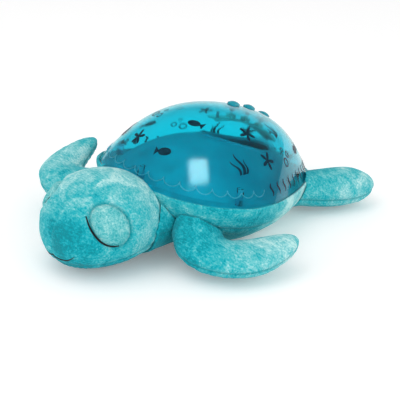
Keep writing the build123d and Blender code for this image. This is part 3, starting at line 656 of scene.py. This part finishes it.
def shortPilePlush(name, look):
    # knitted polyester velour, dyed in soft blotches and brushed: matt, pale where the pile is seen
    # edge-on, deeper where it is stroked down; the pile is drawn coarser than its real 0.2 mm to show
    material, tree = newMaterial(name)
    spot = addNode(tree, "TexCoord").outputs["Object"]
    # the attribute read here is the dye's tone on each piece, with painted light and painted shade added on
    # some pieces
    dyeAndShade = addNode(tree, "Attribute", attribute_name="dyeAndShade").outputs["Fac"]
    seamShade = addNode(tree, "Attribute", attribute_name="seamShade").outputs["Fac"]
    mottle = addNode(tree, "TexNoise", {"Vector": spot, "Scale": 1 / (look["mottle"] * mm), "Detail": 4.0,
                                        "Roughness": 0.62, "Distortion": 0.8})
    lay = addNode(tree, "Mapping", {"Vector": spot, "Rotation": (0.5, 0.3, 0.7), "Scale": (
        1 / (look["streakLong"] * mm), 1 / (look["streakShort"] * mm), 1 / (look["streakShort"] * mm))})
    streak = addNode(tree, "TexNoise", {"Vector": lay.outputs[0], "Scale": 1.0, "Detail": 3.0,
                                        "Distortion": 0.5})
    fleck = addNode(tree, "TexNoise", {"Vector": spot, "Scale": 1 / (look["fleck"] * mm), "Detail": 3.0,
                                       "Roughness": 0.7})
    mixed, middle = dyeAndShade, 0.0
    for pattern, share in ((mottle, look["mottleShare"]), (streak, look["streakShare"]),
                           (fleck, look["fleckShare"])):
        mixed = addNode(tree, "Math", {0: pattern.outputs[0], 1: share, 2: mixed},
                        operation="MULTIPLY_ADD").outputs[0]
        middle += share / 2
    shade = addNode(tree, "MapRange", {"Value": mixed, "From Min": middle, "From Max": middle + 1})
    dye = addNode(tree, "ValToRGB", {"Fac": shade.outputs[0]}, stops=look["dyes"])
    # painted shade in the seam grooves: the dye is pulled towards the seam colour
    sewn = addNode(tree, "Mix", {0: seamShade, 6: dye.outputs[0], 7: linear(look["seamShade"])}, data_type="RGBA")
    height = addNode(tree, "Math", {0: streak.outputs[0], 1: 0.7, 2: fleck.outputs[0]},
                     operation="MULTIPLY_ADD")
    pile = addNode(tree, "Bump", {"Height": height.outputs[0], "Strength": look["pileBump"],
                                  "Distance": 0.9 * mm})
    cloth = addNode(tree, "BsdfPrincipled", {
        "Base Color": sewn.outputs[2], "Roughness": 0.92, "Specular IOR Level": 0.15, "Sheen Weight": 0.2,
        "Sheen Roughness": 0.4, "Sheen Tint": linear("#b9ecec"), "Normal": pile.outputs[0]})
    addNode(tree, "OutputMaterial", {"Surface": cloth.outputs[0]})
    return material


def blackThread():
    # rayon embroidery thread in satin stitch: black with a soft shine across the stitches, which are drawn
    # coarser than a real 0.3 mm thread so that they show
    material, tree = newMaterial("rayon embroidery thread, satin stitched")
    spot = addNode(tree, "TexCoord").outputs["Object"]
    twist = addNode(tree, "TexWave", {"Vector": spot, "Scale": 0.31 / (0.9 * mm), "Distortion": 1.5},
                    wave_type="BANDS", bands_direction="DIAGONAL")
    patternedSurface(tree, twist, ((0.0, "#0b0d0f"), (1.0, "#23282b")), (0.35, 0.6), 0.5, 0.2,
                     Specular_IOR_Level=0.3)
    return material


def blowUp(piece, held, form):
    # cloth under pressure from inside, held where it is sewn on; no point moves further than the cap
    rest = places(piece)
    group = piece.vertex_groups.new(name="sewn")
    group.add([int(i) for i in np.nonzero(held)[0]], 1.0, "REPLACE")
    activate(piece)
    cloth = piece.modifiers.new("stuffing", "CLOTH")
    cloth.settings.use_pressure = True
    cloth.settings.uniform_pressure_force = form["pressure"]
    cloth.settings.effector_weights.gravity = 0
    cloth.settings.vertex_group_mass = "sewn"
    cloth.settings.tension_stiffness = cloth.settings.compression_stiffness = form["tension"]
    cloth.settings.bending_stiffness = form["bending"]
    cloth.collision_settings.use_collision = False
    cloth.collision_settings.use_self_collision = False
    cloth.point_cache.frame_start, cloth.point_cache.frame_end = 1, form["frames"]
    for f in range(1, form["frames"] + 1):
        scene.frame_set(f)
    blown = np.empty(rest.size)
    piece.evaluated_get(bpy.context.evaluated_depsgraph_get()).data.vertices.foreach_get("co", blown)
    scene.frame_set(1)
    piece.modifiers.remove(cloth)
    piece.vertex_groups.remove(group)
    move = blown.reshape(-1, 3) - rest
    length = np.maximum(np.linalg.norm(move, axis=1, keepdims=True), 1e-9)
    place(piece, rest + move * np.minimum(1, form["cap"] * mm / length))


def restOnFloor(piece):
    points = places(piece)
    points[:, 2] = np.maximum(points[:, 2], 0)  # flat only where it lies on the floor
    place(piece, points)


def stuffedCopy(nodeName, pieceName, neighbours, form):
    piece = bpy.data.objects.new(pieceName, cadNodes[nodeName].data.copy())
    scene.collection.objects.link(piece)
    mergeAndTurnOut(piece)
    piece.data.remesh_voxel_size = form["voxel"] * mm
    bpy.ops.object.voxel_remesh()
    applyModifier(piece, "SMOOTH", factor=0.5, iterations=3)
    points = places(piece)
    reach = form["voxel"] * 0.8 * mm
    trees = [sewnTo[n] for n in neighbours]
    held = np.array([any(tree.find_nearest(Vector(p), reach)[0] is not None for tree in trees)
                     for p in points], bool)
    place(piece, points + facing(piece) * np.where(held, 0, form["start"] * mm)[:, None])
    blowUp(piece, held, form)
    applyModifier(piece, "SUBSURF", levels=2, render_levels=2)
    restOnFloor(piece)
    return piece


def sewSeams(piece, seams, dyeAndShade):
    # each seam: distance from its line and run along it in mm, depth and width of the groove, and the
    # strength of the shade painted into the groove
    points, normals = places(piece), facing(piece)
    move, dark = np.zeros(len(points)), np.zeros(len(points))
    for away, along, depth, width, grooveShade in seams:
        groove = np.exp(-(away / width) ** 2)
        pucker = np.exp(-((away - sewing["puckerAway"] * width) / (sewing["puckerWidth"] * width)) ** 2)
        wander = 2 * np.pi * along / sewing["gatherPitch"] + 1.7 * np.sin(along / 11.0)
        gather = np.sin(wander) * np.sin(along / 17.0 + 1.0)
        move += -depth * groove + sewing["pucker"] * depth * pucker * (1 + sewing["gather"] * gather)
        # painted shade along the groove, strongest on its line
        dark = np.maximum(dark, grooveShade * np.exp(-(away / (sewing["grooveShadeWidth"] * width)) ** 2))
    lumps = np.array([noise.noise(Vector(p) * 45) * 0.9 + noise.noise(Vector(p) * 130) * 0.35
                      for p in points])
    onFloor = points[:, 2] < sewing["floorHeight"] * mm
    move = np.where(onFloor, 0, move + sewing["lump"] * lumps)
    place(piece, points + normals * (move * mm)[:, None])
    restOnFloor(piece)
    paint(piece, "seamShade", np.clip(dark, 0, 1))
    paint(piece, "dyeAndShade", dyeAndShade)
    smoothShade(piece)


velour = shortPilePlush("polyester velour, blotch dyed and brushed", plushLook)
lidVelour = shortPilePlush("polyester velour, pale and crushed", lidLook)
stitching = blackThread()


# Head

head = {"centre": (0, -130, 39), "half": (52, 51, 39), "chinSeamFront": 13.0, "chinSeamRise": 0.16,
        "deepTone": (13, -174, 41), "deepReach": 27.0, "form": dict(stuffing, cap=2.6, start=-0.9)}
eyelid = {"share": (0.817, -0.431, 0.333), "facing": (0.85, -0.30, 0.43), "long": 18.4, "short": 13.6,
          "lean": 62.0, "shift": (-1.5, -0.5), "height": 1.9, "sunk": 1.2, "standOff": 30.0, "edgeRun": 18.0,
          "form": dict(stuffing, cap=0.9, pressure=3.0)}
eyeLine = {"knots": ((15.2, 9.6), (14.2, 1.0), (11.4, -6.6), (6.6, -13.0), (0.2, -16.6), (-6.2, -17.4)),
           "radius": 0.85, "proud": 0.15}
smile = {"halfWidth": 23.5, "farEnd": -13.0, "dip": 10.7, "low": 18.2, "corner": 6.4, "bow": 1.5,
         "radius": 0.62, "castFrom": -240.0}


def eyelidFrame(side):
    middle = np.array(head["centre"]) + np.array(eyelid["share"]) * head["half"] * (side, 1, 1)
    out = np.array(eyelid["facing"]) * (side, 1, 1)
    out /= np.linalg.norm(out)
    front = np.cross(out, (0, 0, 1)) * side  # towards the snout on both sides
    front /= np.linalg.norm(front)
    upward = np.cross(front, out) * side
    return middle, out, front, upward


def lidShare(across, upward):
    # 0 in the middle of the eyelid's oval, 1 on its edge
    lean = math.radians(eyelid["lean"])
    a, b = across - eyelid["shift"][0], upward - eyelid["shift"][1]
    return np.hypot((a * math.cos(lean) + b * math.sin(lean)) / eyelid["long"],
                    (b * math.cos(lean) - a * math.sin(lean)) / eyelid["short"])


def makeHead():
    piece = stuffedCopy("head_plush", "head_cover", ("body_plush", "neck_plush"), head["form"])
    p = places(piece) / mm
    seams = []
    # centre seam down the muzzle, and the seam of the chin panel
    muzzle = ease(-158, -172, p[:, 1])
    seams.append((np.abs(p[:, 0]) + 40 * (p[:, 2] < 12), p[:, 1] + p[:, 2], 0.1 + 0.35 * muzzle, 1.4, 0.12))
    chin = head["chinSeamFront"] + head["chinSeamRise"] * (p[:, 1] + 172)
    seams.append((np.abs(p[:, 2] - chin), p[:, 0] + p[:, 1], 0.8, 1.5, 0.5))
    deep = np.exp(-((p - head["deepTone"]) ** 2).sum(1) / head["deepReach"] ** 2)
    for side in (-1, 1):
        middle, out, forward, upward = eyelidFrame(side)
        q = p - middle
        share = lidShare(q @ forward, q @ upward)
        away = np.abs(share - 1.04) * eyelid["short"] + 60 * (q @ out < -16)
        seams.append((away, eyelid["edgeRun"] * np.arctan2(q @ upward, q @ forward), 1.7, 1.7, 0.6))
    # lighter on top and towards the left side: painted light and sheen; darker under the chin: painted shade;
    # a little lighter towards the back; deeper on the face round the deep spot, which is the dye
    n = (p - head["centre"]) / head["half"]
    dyeAndShade = 0.42 + 0.22 * ease(0.2, 0.95, n[:, 2]) + 0.16 * ease(-0.4, 0.5, n[:, 1])
    dyeAndShade += 0.36 * ease(0.1, 0.7, -n[:, 0]) - 0.26 * deep - 0.50 * ease(-0.3, -0.9, n[:, 2])
    sewSeams(piece, seams, dyeAndShade)
    return piece


def makeEyelid(side, pieceName, headTree):
    # oval pillow: a ball pressed onto the head, thin below and domed outside
    deselect()
    bpy.ops.mesh.primitive_uv_sphere_add(segments=64, ring_count=40, radius=1)
    piece = bpy.context.object
    piece.name = pieceName
    ball = places(piece)
    middle, out, forward, upward = eyelidFrame(side)
    lean = math.radians(eyelid["lean"])
    a, b = ball[:, 0] * eyelid["long"], ball[:, 1] * eyelid["short"]
    across = a * math.cos(lean) - b * math.sin(lean) + eyelid["shift"][0]
    rise = a * math.sin(lean) + b * math.cos(lean) + eyelid["shift"][1]
    laid = []
    for f, u, c in zip(across, rise, ball[:, 2]):
        start = Vector((middle + forward * f + upward * u + out * eyelid["standOff"]) * mm)
        near = headTree.ray_cast(start, Vector(-out))[0]
        proud = eyelid["height"] * c ** 0.8 if c > 0 else eyelid["sunk"] * c
        laid.append(np.array(near) + out * (proud * mm))
    place(piece, np.array(laid))
    mergeAndTurnOut(piece)
    blowUp(piece, ball[:, 2] <= 0.05, eyelid["form"])
    applyModifier(piece, "SUBSURF", levels=1, render_levels=1)
    p = places(piece) / mm - middle
    share = lidShare(p @ forward, p @ upward)
    edge = np.abs(share - 1.0) * eyelid["short"]
    along = eyelid["edgeRun"] * np.arctan2(p @ upward, p @ forward)
    # lighter towards its top: painted light from above
    sewSeams(piece, [(edge, along, 0.3, 1.0, 0.7)], 0.48 + 0.12 * ease(-12, 12, p @ upward))
    return piece


def makeEyeLine(side, pieceName, trees):
    middle, out, forward, upward = eyelidFrame(side)
    line, share = smoothRun(eyeLine["knots"], 60)
    points = []
    for f, u in line:
        start = Vector((middle + forward * f + upward * u + out * eyelid["standOff"]) * mm)
        hits = [tree.ray_cast(start, Vector(-out)) for tree in trees]
        near = min((h for h in hits if h[0] is not None), key=lambda h: h[3])
        points.append(near[0] + Vector(out) * (eyeLine["proud"] * mm))
    taper = 0.28 + 0.72 * np.sin(np.pi * np.clip(0.08 + 0.84 * share, 0, 1)) ** 0.7
    return tubeAlong(pieceName, points, eyeLine["radius"], shares=taper)


def makeSmile(headTree):
    x = np.linspace(smile["farEnd"], smile["halfWidth"], 80)
    out = np.abs(x) - smile["dip"]
    reach = smile["halfWidth"] - smile["dip"]
    z = smile["low"] + np.where(out > 0, smile["corner"] * (out / reach) ** 2,
                                smile["bow"] * (out / smile["dip"]) ** 2)
    points = [headTree.ray_cast(Vector((a, smile["castFrom"], b)) * mm, Vector((0, 1, 0)))[0]
              for a, b in zip(x, z)]
    taper = 0.35 + 0.65 * np.clip(np.minimum(smile["halfWidth"] - x, x - smile["farEnd"]) / 6, 0, 1)
    return tubeAlong("smile_stitch", points, smile["radius"], shares=taper)


headCover = makeHead()
headTree = treeOf(headCover)
finishPiece(headCover, velour, replaced=("head_plush",))
finishPiece(makeSmile(headTree), stitching)
for side, name in ((1, "left"), (-1, "right")):
    lid = makeEyelid(side, f"eyelid_{name}_pad", headTree)
    line = makeEyeLine(side, f"eye_line_{name}", (headTree, treeOf(lid)))
    finishPiece(lid, lidVelour, replaced=(f"eyelid_{name}",))
    finishPiece(line, stitching)
print("head ready:", len(headCover.data.polygons), "faces")


# Neck

neck = {"seamHeight": 31.0, "form": dict(stuffing, cap=2.0, start=-0.8)}


def makeNeck():
    piece = stuffedCopy("neck_plush", "neck_cover", ("body_plush", "head_plush"), neck["form"])
    p = places(piece) / mm
    seams = [(np.abs(p[:, 2] - neck["seamHeight"]), p[:, 1], 0.6, 1.5, 0.4)]
    # darker low down, under the head: painted shade
    sewSeams(piece, seams, 0.08 + 0.30 * ease(25, 60, p[:, 2]))
    return piece


neckCover = makeNeck()
finishPiece(neckCover, velour, replaced=("neck_plush",))
print("neck ready:", len(neckCover.data.polygons), "faces")


# Flippers

flippers = {
    "frontLeft": ((34, -59, 35, 24, 19), (60, -79, 31, 21, 19), (84, -85, 20, 21, 15),
                  (102, -71, 17.5, 23, 14), (113, -50, 20, 21, 12), (119, -31, 25, 13, 8),
                  (121, -23, 27, 5, 3.5)),
    "frontRight": ((34, -64, 34, 24, 18), (64, -85, 29, 25, 19), (93, -98, 29, 24, 17),
                   (112, -94, 35, 20.5, 14), (120, -75, 42, 17.5, 11), (123, -54, 49, 11, 7.5),
                   (124, -45, 52, 4.5, 3.3)),
    "rear": ((30, 44, 25, 16, 15), (42, 64, 22, 20, 17), (52, 84, 20, 22, 18), (60, 103, 19.5, 23, 18),
             (67, 120, 18.5, 17, 13), (71, 129, 18, 7, 5.5)),
    "rearTones": (0.3, 0.34, 0.48, 0.68, 0.72, 0.70),
    "shoulder": ("body_plush", "head_plush", "neck_plush"), "hip": ("body_plush",),
    "form": dict(stuffing, voxel=3.6, cap=2.6, start=-1.0)}


def flipperRun(stations, side):
    # centre line with its half sizes, sideways and upward directions along the flipper
    line, share = smoothRun(np.array(stations, float) * (side, 1, 1, 1, 1), 90)
    run = np.gradient(line[:, :3], axis=0)
    run /= np.linalg.norm(run, axis=1, keepdims=True)
    across = np.cross(run, (0, 0, 1))
    across /= np.linalg.norm(across, axis=1, keepdims=True)
    return line, across, np.cross(across, run), share


def makeFlipper(nodeName, stations, side, neighbours, tones, seamDrop):
    piece = stuffedCopy(nodeName, nodeName + "_cover", neighbours, flippers["form"])
    p = places(piece) / mm
    line, across, upward, share = flipperRun(stations, side)
    near = np.argmin(((p[:, None, :] - line[None, :, :3]) ** 2).sum(2), axis=1)
    q = p - line[near, :3]
    rise = (q * upward[near]).sum(1)
    off = (q * across[near]).sum(1)
    steps = np.linalg.norm(np.diff(line[:, :3], axis=0), axis=1)
    length = np.concatenate([[0], np.cumsum(steps)])[near]
    # edge seam: where the flipper is widest, a little below its middle
    level = -seamDrop * line[near, 4]
    outer = np.abs(off) > 0.35 * line[near, 3]
    away = np.abs(rise - level) + 30 * ~(outer | (share[near] > 0.93))
    dyeAndShade = np.interp(share[near], np.linspace(0, 1, len(tones)), tones)
    sewSeams(piece, [(away, length, 1.0, 1.5, 0.6)], dyeAndShade)
    return piece


flipperPlan = (
    ("front_flipper_left", "frontLeft", 1, "shoulder", (0.14, 0.14, 0.22, 0.62, 0.74, 0.68, 0.6), 0.25),
    ("front_flipper_right", "frontRight", -1, "shoulder", (0.4, 0.4, 0.5, 0.66, 0.7, 0.5, 0.35), 0.1),
    ("rear_flipper_left", "rear", 1, "hip", flippers["rearTones"], 0.3),
    ("rear_flipper_right", "rear", -1, "hip", flippers["rearTones"], 0.3))
for nodeName, shape, side, root, tones, seamDrop in flipperPlan:
    flipper = makeFlipper(nodeName, flippers[shape], side, flippers[root], tones, seamDrop)
    finishPiece(flipper, velour, replaced=(nodeName,))
    print(flipper.name, "ready:", len(flipper.data.polygons), "faces")


# Body: the cushion that holds the shell, with a zip across its belly

body = {"segments": 150, "lip": ((0.35, -0.6), (0.8, 0.7), (1.9, 1.0), (2.9, 0.0)), "collar": 2.8,
        "tuck": 0.021, "depths": range(3, 55, 3), "belly": (0.75, 0.5, 0.25, 0),
        "pocket": ((0.35, -3.3), (-13.7, -3.3), (-13.7, -22.3)), "pocketFloor": (0.6, 0.3, 0),
        "seamDepth": 19.0, "form": dict(stuffing, cap=2.2, start=0.0)}
zipper = {"channel": (68.0, 22.0, 4.2), "y": -26.0, "tape": (66.0, 20.0), "tapeHeight": 3.8,
          "tapeThickness": 0.5, "coilLength": 60.0, "coilMiddle": 2.65, "coilHalfHeight": 0.55,
          "coilPitch": 1.5, "coilReach": 1.75, "coilOverlap": 0.1, "wire": 0.30}


def makeBody():
    turn = np.linspace(0, 2 * np.pi, body["segments"] + 1)
    rows = [planPoints(turn, grow, w) for grow, w in reversed(body["pocket"])]
    middle = rows[0][:-1].mean(0)
    rows = [middle + (rows[0] - middle) * s for s in reversed(body["pocketFloor"])] + rows
    rows += [planPoints(turn, grow, w) for grow, w in body["lip"]]
    lipRow = len(rows) - 1
    rows += [planPoints(turn, body["collar"] - body["tuck"] * d * d, -d) for d in body["depths"]]
    under = rows[-1] * (1, 1, 0)
    middle = under[:-1].mean(0)
    rows += [middle + (under - middle) * s for s in body["belly"]]
    # a flat grid is rolled up: across it goes round the body, along it from the pocket over the rim
    # to the belly
    deselect()
    bpy.ops.mesh.primitive_grid_add(x_subdivisions=body["segments"], y_subdivisions=len(rows) - 1, size=2)
    piece = bpy.context.object
    piece.name = "body_cover"
    flat = places(piece)
    step = np.rint((flat[:, 0] + 1) / 2 * body["segments"]).astype(int)
    ring = np.rint((flat[:, 1] + 1) / 2 * (len(rows) - 1)).astype(int)
    paint(piece, "ring", ring)
    place(piece, np.array(rows)[ring, step])
    restOnFloor(piece)
    mergeAndTurnOut(piece)
    ring = np.empty(len(piece.data.vertices), np.float32)
    piece.data.attributes["ring"].data.foreach_get("value", ring)
    piece.data.attributes.remove(piece.data.attributes["ring"])
    blowUp(piece, (ring <= lipRow) | (places(piece)[:, 2] < 0.5 * mm), body["form"])
    applyModifier(piece, "SUBSURF", levels=2, render_levels=2)
    restOnFloor(piece)
    # seam between the upper panel and the belly panel, at an even depth under the rim
    tilt = math.radians(shell["tilt"])
    p = places(piece) / mm
    v = p[:, 1] * math.cos(tilt) - (p[:, 2] - shell["rimHeight"]) * math.sin(tilt)
    w = p[:, 1] * math.sin(tilt) + (p[:, 2] - shell["rimHeight"]) * math.cos(tilt)
    angle = np.arctan2(v, p[:, 0])
    outside = np.hypot(p[:, 0] / shell["halfBeam"], v / shell["halfLength"]) > 0.6
    seams = [(np.abs(w + body["seamDepth"]) + 60 * ~outside, 85 * angle, 0.9, 1.6, 0.55)]
    # darker towards the front, under the head and neck: painted shade
    sewSeams(piece, seams, 0.34 + 0.52 * ease(-45, 25, v))
    # channel that the zip lies in
    deselect()
    length, width, depth = (size * mm for size in zipper["channel"])
    bpy.ops.mesh.primitive_cube_add(size=1, location=(0, zipper["y"] * mm, 0),
                                    scale=(length, width, 2 * depth))
    cutter = bpy.context.object
    bpy.ops.object.transform_apply(location=True, rotation=True, scale=True)
    combine(piece, cutter, "DIFFERENCE")
    smoothShade(piece, 50)
    return piece


def wovenTape():
    # twill polyester tape, dyed to match the plush: fine herringbone, drawn at 1 mm so that it shows
    material, tree = newMaterial("polyester zip tape, woven twill")
    spot = addNode(tree, "TexCoord").outputs["Object"]
    twill = addNode(tree, "TexWave", {"Vector": spot, "Scale": 0.31 / (1.0 * mm), "Distortion": 0.4},
                    wave_type="BANDS", bands_direction="DIAGONAL")
    fuzz = addNode(tree, "TexNoise", {"Vector": spot, "Scale": 1 / (0.8 * mm)})
    weave = addNode(tree, "Math", {0: fuzz.outputs[0], 1: 0.5, 2: twill.outputs[0]},
                    operation="MULTIPLY_ADD")
    colour = addNode(tree, "ValToRGB", {"Fac": weave.outputs[0]}, stops=((0.2, "#0b6f78"), (1.0, "#2a969c")))
    bump = addNode(tree, "Bump", {"Height": weave.outputs[0], "Strength": 0.5, "Distance": 0.3 * mm})
    cloth = addNode(tree, "BsdfPrincipled", {"Base Color": colour.outputs[0], "Roughness": 0.85,
                                             "Specular IOR Level": 0.2, "Sheen Weight": 0.2,
                                             "Normal": bump.outputs[0]})
    addNode(tree, "OutputMaterial", {"Surface": cloth.outputs[0]})
    return material


def makeTape():
    deselect()
    bpy.ops.mesh.primitive_grid_add(x_subdivisions=66, y_subdivisions=20, size=1)
    tape = bpy.context.object
    tape.name = "zip_tape"
    p = places(tape) * (zipper["tape"][0], zipper["tape"][1], 1)
    edge = ease(0.55, 1.0, np.abs(p[:, 1]) / (zipper["tape"][1] / 2))
    p[:, 2] = zipper["tapeHeight"] + 0.12 * edge * np.sin(p[:, 0] / 3.1) - 0.1 * (1 - edge)
    p[:, 1] += zipper["y"]
    place(tape, p * mm)
    applyModifier(tape, "SOLIDIFY", thickness=zipper["tapeThickness"] * mm, offset=0)
    smoothShade(tape, 50)
    return tape


def makeCoil():
    # two nylon spirals whose turns mesh in the middle
    turns = int(zipper["coilLength"] / zipper["coilPitch"])
    roll = np.linspace(0, 2 * np.pi * turns, 12 * turns + 1)
    x = zipper["coilLength"] * (roll / roll[-1] - 0.5)
    sides = []
    half = zipper["coilReach"] / 2
    for side in (-1, 1):
        swing = (half - zipper["coilOverlap"]) * np.cos(roll + (side > 0) * np.pi)
        across = side * (half + swing * side)
        z = zipper["coilMiddle"] + zipper["coilHalfHeight"] * np.sin(roll)
        points = np.stack([x, zipper["y"] + across, z], 1) * mm
        sides.append(tubeAlong("zip_coil_side", points, zipper["wire"], sides=1))
    return joinPieces(sides, "zip_coil")


bodyCover = makeBody()
finishPiece(bodyCover, velour, replaced=("body_plush",))
tape = makeTape()
finishPiece(tape, wovenTape(), replaced=("zipper_tape",))
print("body ready:", len(bodyCover.data.polygons), "faces")
finishPiece(makeCoil(), mouldedPlastic("nylon zip coil, drawn", "#0d6a74", "#238f97", (0.35, 0.5), 1.5, 0.1),
            replaced=("zipper_coil",))


# Light module and zip hardware: the CAD solids keep their shape and get their finish here

def dress(material, *names):
    for name in names:
        cadNodes[name].data.materials.clear()
        cadNodes[name].data.materials.append(material)


# material, dark and pale colour, roughness, grain in mm, relief or metal share, pieces
mouldings = (
    ("ABS, misty blue, moulded with a fine spark finish", "#98b4c4", "#c4d8e1", (0.42, 0.6), 4.0, 0.15,
     ("base_tray", "battery_door", "deck_plate")),
    ("ABS, white and polished", "#e2e6e6", "#f0f2f1", (0.12, 0.2), 6.0, 0.05, ("projector_cup",)),
    ("acetal, natural white, moulded", "#dcdad0", "#ebe9e0", (0.3, 0.42), 2.5, 0.1,
     ("switch_bracket", "drive_pinion", "button_switches")),
    ("moulded black epoxy", "#0e0f11", "#1d1f22", (0.45, 0.6), 0.7, 0.2, ("board_components",)),
    ("shrink sleeve on a cell, satin", "#20262b", "#333b42", (0.25, 0.4), 4.0, 0.1, ("battery_cells",)),
    ("paper cone and steel basket, black", "#101113", "#24262a", (0.6, 0.85), 0.8, 0.35, ("speaker",)))
metals = (
    ("zinc plated steel screw", "#8d9296", "#b9bdc0", (0.28, 0.42), 1.2, 1.0,
     ("case_screws", "board_screws", "bracket_screws", "motor_screws", "door_screw")),
    ("ground steel pin", "#90959a", "#b4b8bb", (0.18, 0.3), 0.8, 1.0,
     ("disc_axle", "axle_clip", "motor_shaft")),
    ("pressed steel can, tin plated", "#9a9d9c", "#bfc1bf", (0.3, 0.5), 3.0, 1.0, ("gear_motor",)),
    ("nickel plated spring steel", "#aaa89c", "#cdcbc0", (0.2, 0.35), 1.5, 1.0, ("cell_contacts",)),
    ("zinc die casting, teal lacquer", "#14737d", "#2b97a0", (0.25, 0.38), 1.5, 0.3,
     ("zipper_slider", "zipper_stops")))
for *look, names in mouldings:
    dress(mouldedPlastic(*look), *names)
for *look, names in metals:
    dress(platedMetal(*look), *names)
dress(circuitBoard(), "light_board", "control_board")
dress(clearMoulding("acrylic, rippled and satin", "#dff3f6", (0.15, 0.25), 0.5), "wave_disc")
dress(clearMoulding("epoxy lamp lens, clear", "#f2f6f4", (0.05, 0.12), 0.9), "lamps")
dress(buttonPlastic(), "button_front", "button_middle", "button_rear")
print("module dressed:", sum(1 for node in cadNodes.values() if not node.hide_render), "solids show")
